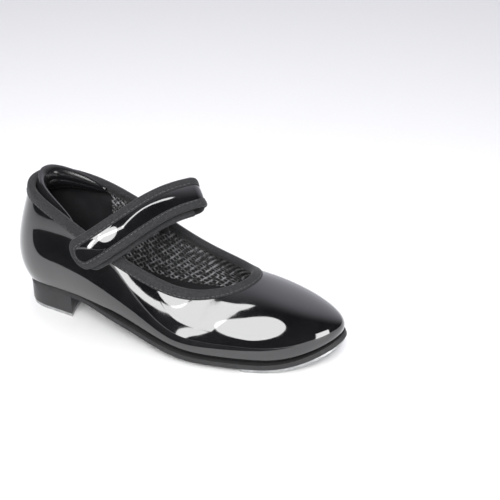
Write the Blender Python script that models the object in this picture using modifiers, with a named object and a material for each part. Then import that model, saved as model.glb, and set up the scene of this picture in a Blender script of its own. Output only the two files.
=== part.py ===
"""Child's tap shoe for the right foot, one size: 200 mm long.

Frame: +X points to the toe, +Y to the inner (medial) side, +Z up.  The origin is at the
middle of the shoe's length and width, on the floor.  Every measure below is in metres.
The stations are written from the back of the heel, and ORIGIN moves them to the frame.
"""
import math
from functools import lru_cache

import bmesh
import bpy
import numpy as np
from mathutils import Matrix, Vector

MM = 0.001
GAP = 0.3 * MM                       # free space between pieces that touch
CEMENT = 0.8 * MM                    # space for the cement between sole layers

# --- driving dimensions -------------------------------------------------------------
ORIGIN = np.array((99.87, -2.05, 0.0)) * MM
TAP_THICKNESS = 2.0 * MM
HEEL_SEAT = 13.7 * MM                # underside of the outsole at the heel
SOLE_FLAT = TAP_THICKNESS + GAP      # underside of the outsole at the ball
HEEL_LENGTH = 41.5 * MM
TOE_TAP_START = 147.0 * MM
TOE_TAP_INSET = -1.0 * MM
TOE_TAP_CORNER = 6.0 * MM
WAIST_START = 44.0 * MM
WAIST_END = 128.0 * MM
SPRING_START = 160.0 * MM            # the toe lifts off the floor from here
SPRING_LENGTH = 40.0 * MM
SPRING_RISE = 10.5 * MM

OUTSOLE = 3.0 * MM
SOLE_EDGE = 1.8 * MM                 # how far the outsole stands out past the upper
HEEL_EDGE = -1.4 * MM                # the same at the heel, where it is flush with the block
MARGIN_LIFT = OUTSOLE + CEMENT       # levels above the underside of the outsole
MARGIN = 9.5 * MM
FEATHER_LIFT = MARGIN_LIFT + 1.0 * MM
SHELL = 1.2 * MM
BOARD_LIFT = MARGIN_LIFT + SHELL + CEMENT
BOARD = 1.8 * MM
INSOCK_LIFT = BOARD_LIFT + BOARD + CEMENT
INSOCK = 2.5 * MM

LAYER_GAP = 0.45 * MM
STIFFENER = 0.8 * MM
LINING = 0.8 * MM
BINDING_LEG = 5.6 * MM
BINDING_WALL = 0.8 * MM
TAPE_GAP = 0.45 * MM                 # between the binding and what it wraps
BINDING_INNER = SHELL + LAYER_GAP + LINING + TAPE_GAP
ROUND = 48                           # sections round the shoe
CORNER = 3 / ROUND                   # where a sole patch turns from its end to its side

COLLAR_END = 8 / ROUND               # the padded collar ends here on both sides of the heel
COLLAR_DEEP = 9.4 * MM
COLLAR_THICK = 5.6 * MM
COLLAR_SIDE = BINDING_INNER + BINDING_WALL + GAP
COVER = 0.8 * MM

STRAP_WIDTH = 18.5 * MM
STRAP_CORE = 1.2 * MM
STRAP_PITCH = 3.6 * MM               # middle of the lower layer to middle of the flap
STRAP_LEG = 5.3 * MM
STRAP_LEG_WALL = 0.6 * MM
TAB_START = 0.135                    # outer end of the lower layer, along the strap line
TAB_SHIFT = 2.8 * MM                 # the lower layer lies this much nearer the toe
TAB_FINISH = 0.95                    # far end of the lower layer, along the strap line
BEND_RADIUS = 4.5 * MM               # the flap turns down to the inner side here
BEND_ANGLE = 120.0                   # degrees
ROOT_THICKNESS = 2.2 * MM
ROOT_WIDTH = 16.0 * MM
ROOT_U = 0.782                       # where the strap's root meets the inner wall

# Stations round the shoe, heel to toe on the outer side and back on the inner side, in mm:
# feather line x, y | topline x, y, z | lower handle out, up | upper handle out, down.
STATIONS = np.array((
    (5.0, 0.0, 10.5, 0.0, 76.0, 9.5, 15.0, 6.5, 22.0),
    (13.0, -16.5, 18.5, -14.0, 73.0, 7.0, 15.0, 6.0, 20.0),
    (33.0, -21.5, 40.0, -21.5, 65.5, 5.0, 15.0, 5.0, 18.0),
    (60.0, -26.0, 65.0, -25.5, 54.5, 3.5, 13.0, 4.0, 15.0),
    (88.0, -31.5, 89.0, -25.5, 44.0, 2.5, 12.0, 5.0, 11.0),
    (113.0, -36.5, 111.0, -22.5, 36.3, 2.5, 11.0, 6.5, 8.0),
    (141.0, -34.5, 129.0, -15.5, 36.0, 3.0, 12.0, 10.0, 5.5),
    (175.0, -23.0, 140.5, -7.0, 38.5, 3.0, 13.0, 16.0, 5.0),
    (197.0, 2.0, 144.0, 2.0, 40.0, 2.0, 12.0, 26.0, 6.0),
    (182.0, 21.0, 140.0, 10.5, 39.0, 2.0, 11.0, 14.0, 7.0),
    (155.0, 30.0, 129.0, 18.0, 38.0, 2.5, 12.0, 9.0, 8.0),
    (129.0, 32.0, 111.0, 22.5, 40.5, 2.5, 14.0, 7.0, 9.0),
    (97.0, 20.5, 91.0, 22.5, 49.0, 2.0, 13.0, 5.0, 13.0),
    (68.0, 17.0, 65.0, 22.5, 61.5, 3.0, 14.0, 5.0, 16.0),
    (38.0, 19.0, 40.0, 21.0, 71.0, 5.0, 15.0, 5.5, 18.0),
    (13.5, 15.0, 18.5, 14.0, 76.0, 7.0, 15.0, 6.0, 20.0),
)) * MM

# Strap: middle line of the lower layer, outer side to inner side, and its width direction
# (from the edge nearer the heel to the edge nearer the toe), in mm from the back of the heel.
STRAP_LINE = np.array((
    (49.0, -31.2, 46.5), (57.0, -31.2, 51.3), (66.0, -29.6, 57.4), (75.5, -20.5, 64.0),
    (84.5, -5.0, 69.5), (93.5, 7.5, 72.5), (101.5, 17.0, 73.3),
)) * MM
STRAP_ACROSS = np.array((
    (0.50, 0.00, -0.87), (0.52, -0.03, -0.85), (0.58, -0.12, -0.80), (0.60, -0.24, -0.76),
    (0.58, -0.30, -0.76), (0.61, -0.38, -0.70), (0.64, -0.43, -0.64),
))
FLAP_START = 0.11                    # the flap's rounded end, along the strap line

HEEL_SCREWS = ((13.0, 0.0), (34.5, -13.5), (34.5, 12.5))          # x, y in mm
TOE_RIVETS = ((155.0, 14.5), (182.0, -1.0), (155.5, -20.0))
HEEL_NAILS = ((19.0, -5.5), (19.0, 4.5), (31.0, -7.0), (31.0, 6.0))

PARTS = "tap_shoe"
CUTTERS = "cutters"


# --- scene and materials -------------------------------------------------------------
def clear_scene():
    for obj in list(bpy.data.objects):
        bpy.data.objects.remove(obj, do_unlink=True)
    for name in (PARTS, CUTTERS):
        collection = bpy.data.collections.new(name)
        bpy.context.scene.collection.children.link(collection)


def material(name, colour, roughness, metallic=0.0):
    """One Principled material, made once for each name."""
    found = bpy.data.materials.get(name)
    if found:
        return found
    made = bpy.data.materials.new(name)
    made.use_nodes = True
    shader = made.node_tree.nodes["Principled BSDF"]
    shader.inputs["Base Color"].default_value = (*colour, 1.0)
    shader.inputs["Roughness"].default_value = roughness
    shader.inputs["Metallic"].default_value = metallic
    return made


def patent():
    return material("patent", (0.006, 0.006, 0.007), 0.08)


def binding_tape():
    return material("binding_tape", (0.045, 0.045, 0.05), 0.9)


def lining_cloth():
    return material("lining_cloth", (0.02, 0.02, 0.022), 0.8)


def collar_vinyl():
    return material("collar_vinyl", (0.015, 0.015, 0.017), 0.35)


def foam():
    return material("foam", (0.35, 0.34, 0.32), 0.95)


def sole_rubber():
    return material("sole_rubber", (0.035, 0.035, 0.037), 0.75)


def heel_plastic():
    return material("heel_plastic", (0.06, 0.06, 0.065), 0.45)


def fibre_board():
    return material("fibre_board", (0.30, 0.22, 0.14), 0.9)


def tap_alloy():
    return material("tap_alloy", (0.55, 0.56, 0.57), 0.35, 1.0)


def steel():
    return material("steel", (0.62, 0.62, 0.63), 0.3, 1.0)


def hook_loop():
    return material("hook_loop", (0.012, 0.012, 0.013), 0.95)


def place(name, mesh, mat, origin=(0.0, 0.0, 0.0), group=PARTS):
    """Link a mesh made in shoe coordinates; the object's own origin goes to `origin`."""
    pivot = Vector(origin)
    mesh.transform(Matrix.Translation(-pivot))
    mesh.materials.clear()
    if mat:
        mesh.materials.append(mat)
    mesh.shade_smooth()
    mesh.set_sharp_from_angle(angle=math.radians(40))
    obj = bpy.data.objects.new(name, mesh)
    obj.location = pivot
    bpy.data.collections[group].objects.link(obj)
    return obj


def to_mesh(name, bm):
    bmesh.ops.recalc_face_normals(bm, faces=bm.faces)
    mesh = bpy.data.meshes.new(name)
    bm.to_mesh(mesh)
    bm.free()
    return mesh


# --- the shoe's own surfaces -----------------------------------------------------------
def through(rows, place_on, closed):
    """Catmull-Rom point of evenly spaced rows, at place_on from 0 to 1."""
    count = len(rows)
    if closed:
        at = (place_on % 1.0) * count
        first = int(at)
        p = [rows[(first + step) % count] for step in (-1, 0, 1, 2)]
    else:
        at = min(max(place_on, 0.0), 1.0) * (count - 1)
        first = min(int(at), count - 2)
        before = rows[first - 1] if first else 2 * rows[0] - rows[1]
        after = rows[first + 2] if first + 2 < count else 2 * rows[-1] - rows[-2]
        p = [before, rows[first], rows[first + 1], after]
    t = at - first
    return 0.5 * (2 * p[1] + (p[2] - p[0]) * t + (2 * p[0] - 5 * p[1] + 4 * p[2] - p[3]) * t * t
                  + (3 * p[1] - p[0] - 3 * p[2] + p[3]) * t ** 3)


def smoothstep(value):
    value = min(max(value, 0.0), 1.0)
    return value * value * (3 - 2 * value)


def underside(x):
    """Height of the outsole's underside: heel seat, waist, flat ball, toe spring."""
    waist = smoothstep((WAIST_END - x) / (WAIST_END - WAIST_START))
    spring = max((x - SPRING_START) / SPRING_LENGTH, 0.0)
    return SOLE_FLAT + (HEEL_SEAT - SOLE_FLAT) * waist + SPRING_RISE * spring ** 2


@lru_cache(maxsize=None)
def station(u):
    return through(STATIONS, u, True)


@lru_cache(maxsize=None)
def outward(u):
    """Horizontal direction out of the shoe at the feather line."""
    step = station(u + 0.004)[:2] - station(u - 0.004)[:2]
    normal = np.array((step[1], -step[0], 0.0))
    return normal / np.linalg.norm(normal)


def outline(u, inset, lift=0.0):
    """Point of the feather line moved in by inset, at a level above the underside."""
    point = np.array((*station(u)[:2], 0.0)) - inset * outward(u)
    point[2] = underside(point[0]) + lift
    return point


def wall_curve(u, t):
    """Outer face of the upper, from the feather line (t 0) to the topline (t 1)."""
    row = station(u)
    up = np.array((0.0, 0.0, 1.0))
    low = outline(u, 0.0, FEATHER_LIFT)
    top = row[2:5]
    low_handle = low + row[5] * outward(u) + row[6] * up
    top_handle = top + row[7] * outward(u) - row[8] * up
    t = np.asarray(t)[..., None]
    return ((1 - t) ** 3 * low + 3 * t * (1 - t) ** 2 * low_handle
            + 3 * t * t * (1 - t) * top_handle + t ** 3 * top)


WALL_STEPS = np.linspace(0.0, 1.0, 41)


@lru_cache(maxsize=None)
def wall_table(u):
    """Points, outward normals and depths below the topline along one wall curve."""
    points = wall_curve(u, WALL_STEPS)
    along = wall_curve(u + 0.004, WALL_STEPS) - wall_curve(u - 0.004, WALL_STEPS)
    rise = np.gradient(points, axis=0)
    normals = np.cross(along, rise)
    normals /= np.linalg.norm(normals, axis=1)[:, None]
    steps = np.linalg.norm(np.diff(points, axis=0), axis=1)
    depth = np.concatenate((np.cumsum(steps[::-1])[::-1], (0.0,)))
    return points, normals, depth


def wall_length(u):
    return wall_table(u)[2][0]


def wall_point(u, depth, inward):
    """Point at a depth below the topline, moved in from the outer face of the upper."""
    points, normals, depths = wall_table(u)
    position = [np.interp(depth, depths[::-1], points[::-1, axis]) for axis in range(3)]
    normal = [np.interp(depth, depths[::-1], normals[::-1, axis]) for axis in range(3)]
    position = np.array(position) - inward * np.array(normal)
    if depth < 0:
        rise = points[-1] - points[-3]
        position -= depth * rise / np.linalg.norm(rise)
    return position


def u_at(x, inner):
    """Place round the shoe where the feather line crosses x, on one side."""
    places = np.linspace(0.95, 0.5, 200) if inner else np.linspace(0.05, 0.5, 200)
    xs = [station(float(u))[0] for u in places]
    return float(np.interp(x, xs, places))


# --- mesh builders -----------------------------------------------------------------------
def loft(name, sections, closed):
    """Skin through equal closed sections; an open run of sections gets end faces."""
    bm = bmesh.new()
    rings = [[bm.verts.new(point - ORIGIN) for point in section] for section in sections]
    pairs = list(zip(rings, rings[1:]))
    if closed:
        pairs.append((rings[-1], rings[0]))
    for one, two in pairs:
        for i in range(len(one)):
            j = (i + 1) % len(one)
            bm.faces.new((one[i], one[j], two[j], two[i]))
    if not closed:
        bm.faces.new(rings[0])
        bm.faces.new(rings[-1])
    return to_mesh(name, bm)


def patch(name, rear, front, outer, inner):
    """Open sheet between four edges (a Coons patch); rear and front run outer to inner."""
    across = len(rear) - 1
    along = len(outer) - 1
    bm = bmesh.new()
    grid = []
    for i in range(along + 1):
        s = i / along
        line = []
        for j in range(across + 1):
            t = j / across
            point = ((1 - t) * outer[i] + t * inner[i] + (1 - s) * rear[j] + s * front[j]
                     - (1 - s) * (1 - t) * rear[0] - (1 - s) * t * rear[-1]
                     - s * (1 - t) * front[0] - s * t * front[-1])
            line.append(bm.verts.new(point - ORIGIN))
        grid.append(line)
    for i in range(along):
        for j in range(across):
            bm.faces.new((grid[i][j], grid[i + 1][j], grid[i + 1][j + 1], grid[i][j + 1]))
    for face in bm.faces:
        face.normal_update()
    mesh = bpy.data.meshes.new(name)
    if next(iter(bm.faces)).normal.z < 0:
        bmesh.ops.reverse_faces(bm, faces=bm.faces)
    bm.to_mesh(mesh)
    bm.free()
    return mesh


def sole_inset(u):
    """Inset of the outsole's edge from the feather line: flush heel, proud forepart."""
    forepart = smoothstep((station(u)[0] - 42 * MM) / (34 * MM))
    return -(HEEL_EDGE + (SOLE_EDGE - HEEL_EDGE) * forepart)


def edge_run(u_from, u_to, count, inset):
    places = [float(u) for u in np.linspace(u_from, u_to, count + 1)]
    return [outline(u, inset(u) if callable(inset) else inset) for u in places]


def straight_or_bowed(start, end, count, bow):
    """Edge from start to end, its middle moved by bow along X."""
    line = []
    for t in np.linspace(0.0, 1.0, count + 1):
        point = (1 - t) * start + t * end
        point[0] += bow * 4 * t * (1 - t)
        line.append(point)
    return line


def sole_layer(name, mat, inset, lift, thickness, x_from=None, x_to=None, bow=0.0, level=None,
               across=6, along=18):
    """Plate in the shape of the sole, whole or cut off at x_from or x_to.

    It follows the underside of the outsole at a lift, or lies flat at a level.
    """
    outer_from, inner_from = CORNER, 1 - CORNER
    outer_to, inner_to = 0.5 - CORNER, 0.5 + CORNER
    if x_from is not None:
        outer_from, inner_from = u_at(x_from, False), u_at(x_from, True)
    if x_to is not None:
        outer_to, inner_to = u_at(x_to, False), u_at(x_to, True)
    outer = edge_run(outer_from, outer_to, along, inset)
    inner = edge_run(inner_from, inner_to, along, inset)
    rear = edge_run(outer_from, -CORNER, across, inset)
    front = edge_run(outer_to, inner_to, across, inset)
    if x_from is not None:
        rear = straight_or_bowed(outer[0], inner[0], across, bow)
    if x_to is not None:
        front = straight_or_bowed(outer[-1], inner[-1], across, bow)
    mesh = patch(name, rear, front, outer, inner)
    for vertex in mesh.vertices:
        x = vertex.co.x + ORIGIN[0]
        vertex.co.z = underside(x) + lift if level is None else level
    obj = place(name, mesh, mat)
    plate = obj.modifiers.new("thickness", "SOLIDIFY")
    plate.thickness = thickness
    plate.offset = 1.0
    return obj


def turned(name, profile, mat, x, y, z, tilt=0.0, steps=16, group=PARTS):
    """Turned piece: profile of (radius, height) from its top down, on an axis at x, y."""
    bm = bmesh.new()
    points = [bm.verts.new((radius, 0.0, height)) for radius, height in profile]
    for one, two in zip(points, points[1:]):
        bm.edges.new((one, two))
    mesh = bpy.data.meshes.new(name)
    bm.to_mesh(mesh)
    bm.free()
    obj = place(name, mesh, mat, group=group)
    screw = obj.modifiers.new("turn", "SCREW")
    screw.angle = math.tau
    screw.steps = steps
    screw.render_steps = steps
    screw.use_merge_vertices = True
    screw.merge_threshold = 0.00001
    obj.location = Vector(np.array((x, y, z)) - ORIGIN)
    obj.rotation_euler = (0.0, -tilt, 0.0)
    return obj


def cutting_box(name, size, location, turn):
    bm = bmesh.new()
    bmesh.ops.create_cube(bm, size=1.0)
    bmesh.ops.scale(bm, vec=size, verts=bm.verts)
    mesh = bpy.data.meshes.new(name)
    bm.to_mesh(mesh)
    bm.free()
    obj = place(name, mesh, None, group=CUTTERS)
    obj.location = Vector(np.array(location) - ORIGIN)
    obj.rotation_euler = (0.0, 0.0, turn)
    return obj


def as_cutter(obj):
    obj.hide_render = True
    obj.display_type = "WIRE"
    return obj


def cut(obj, cutter):
    boolean = obj.modifiers.new("cut_" + cutter.name, "BOOLEAN")
    boolean.operation = "DIFFERENCE"
    boolean.solver = "EXACT"
    boolean.object = as_cutter(cutter)


# --- sole, heel and what lies between them and the foot -----------------------------------
def make_sole():
    outsole = sole_layer("outsole", sole_rubber(), sole_inset, 0.0, OUTSOLE)
    board = sole_layer("insole_board", fibre_board(), 2.7 * MM, BOARD_LIFT, BOARD)
    sole_layer("insock", lining_cloth(), 5.0 * MM, INSOCK_LIFT, INSOCK)
    sole_layer("forepart_filler", foam(), MARGIN + 2.0 * MM, MARGIN_LIFT, SHELL,
               x_from=116 * MM, along=8)
    return outsole, board


def make_shank():
    """Sprung steel strip under the arch, 12 mm wide."""
    half = 6.0 * MM
    xs = np.linspace(36 * MM, 108 * MM, 9)
    outer = [np.array((x, -4 * MM - half, 0.0)) for x in xs]
    inner = [np.array((x, -4 * MM + half, 0.0)) for x in xs]
    mesh = patch("shank", [outer[0], inner[0]], [outer[-1], inner[-1]], outer, inner)
    for vertex in mesh.vertices:
        vertex.co.z = underside(vertex.co.x + ORIGIN[0]) + MARGIN_LIFT
    shank = place("shank", mesh, steel())
    plate = shank.modifiers.new("thickness", "SOLIDIFY")
    plate.thickness = SHELL
    plate.offset = 1.0


def make_heel():
    top = HEEL_SEAT - GAP
    bottom = TAP_THICKNESS + GAP
    block = sole_layer("heel_block", heel_plastic(), 1.6 * MM, 0.0, top - bottom,
                       x_to=HEEL_LENGTH, bow=-3 * MM, level=bottom, along=6)
    tap = sole_layer("heel_tap", tap_alloy(), 1.9 * MM, 0.0, TAP_THICKNESS,
                     x_to=HEEL_LENGTH, bow=-3 * MM, level=0.0, along=6)
    return block, tap


def toe_tap_inset(u):
    """Just inside the outsole's edge, with the two rear corners rounded off."""
    short = min(max(1 - (station(u)[0] - TOE_TAP_START) / TOE_TAP_CORNER, 0.0), 1.0)
    return TOE_TAP_INSET + TOE_TAP_CORNER * (1 - math.sqrt(1 - short ** 2))


def make_toe_tap():
    return sole_layer("toe_tap", tap_alloy(), toe_tap_inset, -SOLE_FLAT, TAP_THICKNESS,
                      x_from=TOE_TAP_START, bow=4.5 * MM, along=12)


# Fastener profiles: (radius, height) in mm, from the top down
SCREW_PROFILE = ((0.0, 9.0), (0.7, 8.2), (1.2, 7.0), (1.2, 1.8), (2.6, 0.5), (2.6, 0.25),
                 (0.0, 0.25))
RIVET_PROFILE = ((0.0, 4.2), (1.3, 4.2), (1.4, 2.0), (3.9, 1.0), (3.9, 0.45), (3.2, 0.3),
                 (2.2, 1.1), (1.0, 1.3), (0.0, 1.3))
NAIL_PROFILE = ((0.0, 0.0), (2.0, 0.0), (2.0, -0.7), (1.0, -1.0), (1.0, -11.0), (0.0, -12.5))


def grown(profile, by, below, above):
    """Profile of the hole for a fastener: wider by `by` and open past its ends."""
    wider = [(radius + by if radius else 0.0, height) for radius, height in profile]
    wider[0] = (0.0, wider[0][1] + above)
    wider.insert(1, (wider[1][0], wider[0][1]))
    wider[-1] = (0.0, wider[-1][1] - below)
    wider.insert(-1, (wider[-2][0], wider[-1][1]))
    return wider


def in_metres(profile):
    return [(radius * MM, height * MM) for radius, height in profile]


def make_heel_screws(block, tap):
    """Countersunk cross-head screws that hold the heel tap to the heel block."""
    hole = grown(SCREW_PROFILE, 0.3, 1.0, 0.5)
    for index, (x, y) in enumerate(HEEL_SCREWS, 1):
        name = f"heel_tap_screw_{index}"
        screw = turned(name, in_metres(SCREW_PROFILE), steel(), x * MM, y * MM, 0.0)
        for turn in (0.6, 0.6 + math.pi / 2):
            slot = cutting_box(f"{name}_slot_{turn:.1f}", (3.2 * MM, 0.7 * MM, 1.6 * MM),
                               (x * MM, y * MM, 0.0), turn)
            cut(screw, slot)
        bore = turned(name + "_hole", in_metres(hole), None, x * MM, y * MM, 0.0, group=CUTTERS)
        cut(tap, bore)
        cut(block, bore)


def make_toe_rivets(outsole, tap):
    """Hollow dished fasteners that hold the toe tap to the outsole."""
    hole = ((0.0, 4.6), (1.7, 4.6), (1.7, 1.9), (4.2, 1.0), (4.2, -1.0), (0.0, -1.0))
    for index, (x, y) in enumerate(TOE_RIVETS, 1):
        name = f"toe_tap_rivet_{index}"
        x, y = x * MM, y * MM
        slope = (underside(x + MM) - underside(x - MM)) / (2 * MM)
        tilt = math.atan(slope)
        z = underside(x) - SOLE_FLAT
        turned(name, in_metres(RIVET_PROFILE), steel(), x, y, z, tilt)
        bore = turned(name + "_hole", in_metres(hole), None, x, y, z, tilt, group=CUTTERS)
        cut(tap, bore)
        cut(outsole, bore)


def make_heel_nails(board, outsole, block):
    """Nails driven from inside the shoe through board and outsole into the heel."""
    hole = ((0.0, 2.0), (2.3, 2.0), (2.3, -1.0), (1.3, -1.3), (1.3, -11.4), (0.0, -13.0))
    z = HEEL_SEAT + BOARD_LIFT + BOARD
    for index, (x, y) in enumerate(HEEL_NAILS, 1):
        name = f"heel_nail_{index}"
        turned(name, in_metres(NAIL_PROFILE), steel(), x * MM, y * MM, z, steps=12)
        bore = turned(name + "_hole", in_metres(hole), None, x * MM, y * MM, z, steps=12,
                      group=CUTTERS)
        for piece in (board, outsole, block):
            cut(piece, bore)


# --- the upper ----------------------------------------------------------------------------
def part_way(u_from, u_to, count):
    return [float(u) for u in np.linspace(u_from, u_to, count + 1)]


def sections_between(first, last):
    """Places round the shoe from one section number to another; 0 is the back of the heel."""
    return [k / ROUND for k in range(first, last + 1)]


@lru_cache(maxsize=None)
def levels(u):
    """Depths below the topline that every layer of the wall shares, lowest first."""
    length = wall_length(u)
    low = length - (INSOCK_LIFT - FEATHER_LIFT) - 0.6 * MM
    high = min(13 * MM, 0.62 * low)
    tape_edge = min(BINDING_LEG, 0.5 * high)
    between = [float(depth) for depth in np.linspace(low, high, 6)]
    return [length] + between + [tape_edge, GAP, 0.0]


def shell_section(u):
    """Upper skin: turned in under the board, up the wall and ending at the topline."""
    outer = [outline(u, MARGIN, MARGIN_LIFT), outline(u, 1.2 * MM, MARGIN_LIFT)]
    outer += [wall_point(u, depth, 0.0) for depth in levels(u)]
    inner = [wall_point(u, depth, SHELL) for depth in reversed(levels(u)[1:])]
    inner += [outline(u, 2.2 * MM, MARGIN_LIFT + SHELL), outline(u, MARGIN, MARGIN_LIFT + SHELL)]
    return outer + inner


def sheet_section(u, depths, offset, thickness):
    """Closed section of a layer inside the wall; offset gives its place at a depth."""
    near = [wall_point(u, depth, offset(depth)) for depth in depths]
    far = [wall_point(u, depth, offset(depth) + thickness) for depth in reversed(depths)]
    return near + far


def stiffener_offset(_depth):
    return SHELL + LAYER_GAP


def lining_offset(depth):
    """Close to the upper skin at the topline, and inside the stiffeners lower down."""
    behind = STIFFENER + LAYER_GAP
    return SHELL + LAYER_GAP + behind * smoothstep((depth - BINDING_LEG) / (7 * MM))


def make_layer(name, mat, first, last, lowest, highest, offset, thickness):
    """Sheet inside the wall between two section numbers and two of its levels."""
    sections = [sheet_section(u, levels(u)[lowest:highest], offset, thickness)
                for u in sections_between(first, last)]
    place(name, loft(name, sections, False), mat)


def make_upper():
    sections = [shell_section(u) for u in sections_between(0, ROUND - 1)]
    place("upper_shell", loft("upper_shell", sections, True), patent())
    make_layer("heel_counter", fibre_board(), -8, 8, 1, 6, stiffener_offset, STIFFENER)
    make_layer("toe_puff", fibre_board(), 20, 28, 1, 4, stiffener_offset, STIFFENER)
    make_layer("vamp_lining", lining_cloth(), 12, 37, 1, 9, lining_offset, LINING)
    quarter = [sheet_section(u, levels(u)[1:9], lining_offset, LINING)
               for u in [-10.95 / ROUND] + sections_between(-10, 11) + [11.95 / ROUND]]
    place("quarter_lining", loft("quarter_lining", quarter, False), lining_cloth())


def binding_section(u):
    """U-shaped tape folded over the topline, with a rounded crown."""
    out = -TAPE_GAP - BINDING_WALL
    inn = BINDING_INNER + BINDING_WALL
    mid = (out + inn) / 2
    places = ((BINDING_LEG, out), (0.3 * MM, out), (-0.7 * MM, (out + mid) / 2), (-1.0 * MM, mid),
              (-0.7 * MM, (inn + mid) / 2), (0.3 * MM, inn), (BINDING_LEG, inn),
              (BINDING_LEG, BINDING_INNER), (-GAP * 0.8, BINDING_INNER), (-GAP * 0.8, -TAPE_GAP),
              (BINDING_LEG, -TAPE_GAP))
    return [wall_point(u, depth, inward) for depth, inward in places]


def make_topline_binding():
    sections = [binding_section(u) for u in sections_between(0, ROUND - 1)]
    place("topline_binding", loft("topline_binding", sections, True), binding_tape())


def collar_point(u, angle, shrink):
    """Point of the padded roll round the heel; it fades out towards both ends."""
    fade = math.sqrt(max(1 - (u / COLLAR_END) ** 2, 0.08))
    depth = 2.4 * MM + (COLLAR_DEEP * fade - shrink) * math.cos(angle)
    inward = COLLAR_SIDE + 0.5 * MM + (COLLAR_THICK * fade - shrink) * math.sin(angle)
    return wall_point(u, depth, max(inward, COLLAR_SIDE + shrink))


def make_collar():
    """Foam roll inside the heel's topline and the soft cover that wraps over it."""
    angles = np.radians(np.linspace(-8, 188, 12))
    cover = []
    core = []
    for u in sections_between(-8, 8):
        skin = [collar_point(u, float(a), 0.0) for a in angles]
        skin += [collar_point(u, float(a), COVER) for a in angles[::-1]]
        cover.append(skin)
    for u in sections_between(-6, 6):
        core.append([collar_point(u, float(a), COVER + GAP) for a in angles])
    place("collar_cover", loft("collar_cover", cover, False), collar_vinyl())
    place("collar_foam", loft("collar_foam", core, False), foam())


# --- strap ------------------------------------------------------------------
def strap_frame(s):
    """Point, along, across and upward directions of the strap's lower layer at s."""
    point = through(STRAP_LINE, s, False)
    along = through(STRAP_LINE, s + 0.01, False) - through(STRAP_LINE, s - 0.01, False)
    along /= np.linalg.norm(along)
    across = through(STRAP_ACROSS, s, False)
    across = across - along * across.dot(along)
    across /= np.linalg.norm(across)
    return point, along, across, np.cross(across, along)


def strap_point(s, side, lift):
    point, along, across, up = strap_frame(s)
    return point + across * side + up * lift


def strap_length():
    points = [strap_frame(float(s))[0] for s in np.linspace(0.0, 1.0, 60)]
    return sum(np.linalg.norm(b - a) for a, b in zip(points, points[1:]))


def half_width(s, start, edge):
    """Half of a strap layer's width; its end at `start` is a half circle."""
    radius = STRAP_WIDTH / 2 - edge
    reach = (s - start) * strap_length() - edge
    if reach >= radius:
        return radius
    return math.sqrt(max(radius ** 2 - (radius - max(reach, 0.0)) ** 2, (0.12 * radius) ** 2))


def end_places(start, finish, edge, count):
    """Places along a strap layer, close together over its rounded end."""
    tip = start + (edge + 0.12 * MM) / strap_length()
    round_end = start + STRAP_WIDTH / 2 / strap_length()
    share = 1 - np.cos(np.linspace(0, math.pi / 2, 6))
    near = [tip + (round_end - tip) * float(a) for a in share]
    return near + [float(s) for s in np.linspace(round_end, finish, count + 1)[1:]]


def flat_strip(name, start, finish, lift, thickness, edge, shift=0.0, count=12):
    """Flat layer of the strap with a rounded outer end."""
    sections = []
    for s in end_places(start, finish, edge, count):
        half = half_width(s, start, edge)
        low, high = lift - thickness / 2, lift + thickness / 2
        sections.append([strap_point(s, side * half + shift, low) for side in (-1, 0, 1)]
                        + [strap_point(s, side * half + shift, high) for side in (1, 0, -1)])
    return loft(name, sections, False)


def rim_frame(start, finish, turn):
    """Place on a strap layer's edge line; turn runs 0 to 1 round the edge and its end."""
    radius = STRAP_WIDTH / 2
    run = (finish - start) * strap_length() - radius
    total = 2 * run + math.pi * radius
    at = turn * total
    if at < run:
        return finish - at / strap_length(), -1.0, 0.0
    if at > total - run:
        return finish - (total - at) / strap_length(), 1.0, 0.0
    angle = (at - run) / radius
    return start + radius / strap_length(), -math.cos(angle), -math.sin(angle)


def strap_binding(name, start, finish, lift, shift=0.0, origin=(0.0, 0.0, 0.0), count=32):
    """U-shaped tape round the edge of one strap layer, open at its inner end."""
    inner = STRAP_CORE / 2 + GAP
    outer = inner + STRAP_LEG_WALL
    places = ((STRAP_LEG, -outer), (0.6 * MM, -outer), (0.0, -inner), (0.0, inner),
              (0.6 * MM, outer), (STRAP_LEG, outer), (STRAP_LEG, inner),
              (0.7 * MM, inner), (0.7 * MM, -inner), (STRAP_LEG, -inner))
    sections = []
    for turn in part_way(0.0, 1.0, count):
        s, side, back = rim_frame(start, finish, turn)
        section = []
        for depth, height in places:
            reach = STRAP_WIDTH / 2 - depth
            section.append(strap_point(s + back * reach / strap_length(),
                                       side * reach + shift, lift + height))
        sections.append(section)
    return place(name, loft(name, sections, False), binding_tape(), origin)


def bend_frame():
    """Middle of the strap's bend and its directions, at the inner end of the flap."""
    point, along, across, up = strap_frame(1.0)
    return point + up * (STRAP_PITCH - BEND_RADIUS) + along * GAP, along, across, up


def bend_ray(degrees):
    """Direction from the middle of the bend to the strap; 0 is where the flap meets it."""
    centre, along, across, up = bend_frame()
    angle = math.radians(degrees)
    return up * math.cos(angle) + along * math.sin(angle)


def peel_axis():
    """Point on the strap, half way round its bend, that the flap turns about."""
    return bend_frame()[0] + bend_ray(BEND_ANGLE / 2) * BEND_RADIUS


def make_strap():
    pivot = peel_axis() - ORIGIN
    edge = 1.4 * MM
    tab = flat_strip("strap_tab", TAB_START, TAB_FINISH, 0.0, STRAP_CORE, edge, TAB_SHIFT)
    place("strap_tab", tab, patent())
    strap_binding("strap_tab_binding", TAB_START, TAB_FINISH, 0.0, TAB_SHIFT)
    flap = flat_strip("strap_flap", FLAP_START, 1.0, STRAP_PITCH, STRAP_CORE, edge)
    place("strap_flap", flap, patent(), pivot)
    strap_binding("strap_flap_binding", FLAP_START, 1.0, STRAP_PITCH, origin=pivot)


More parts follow.
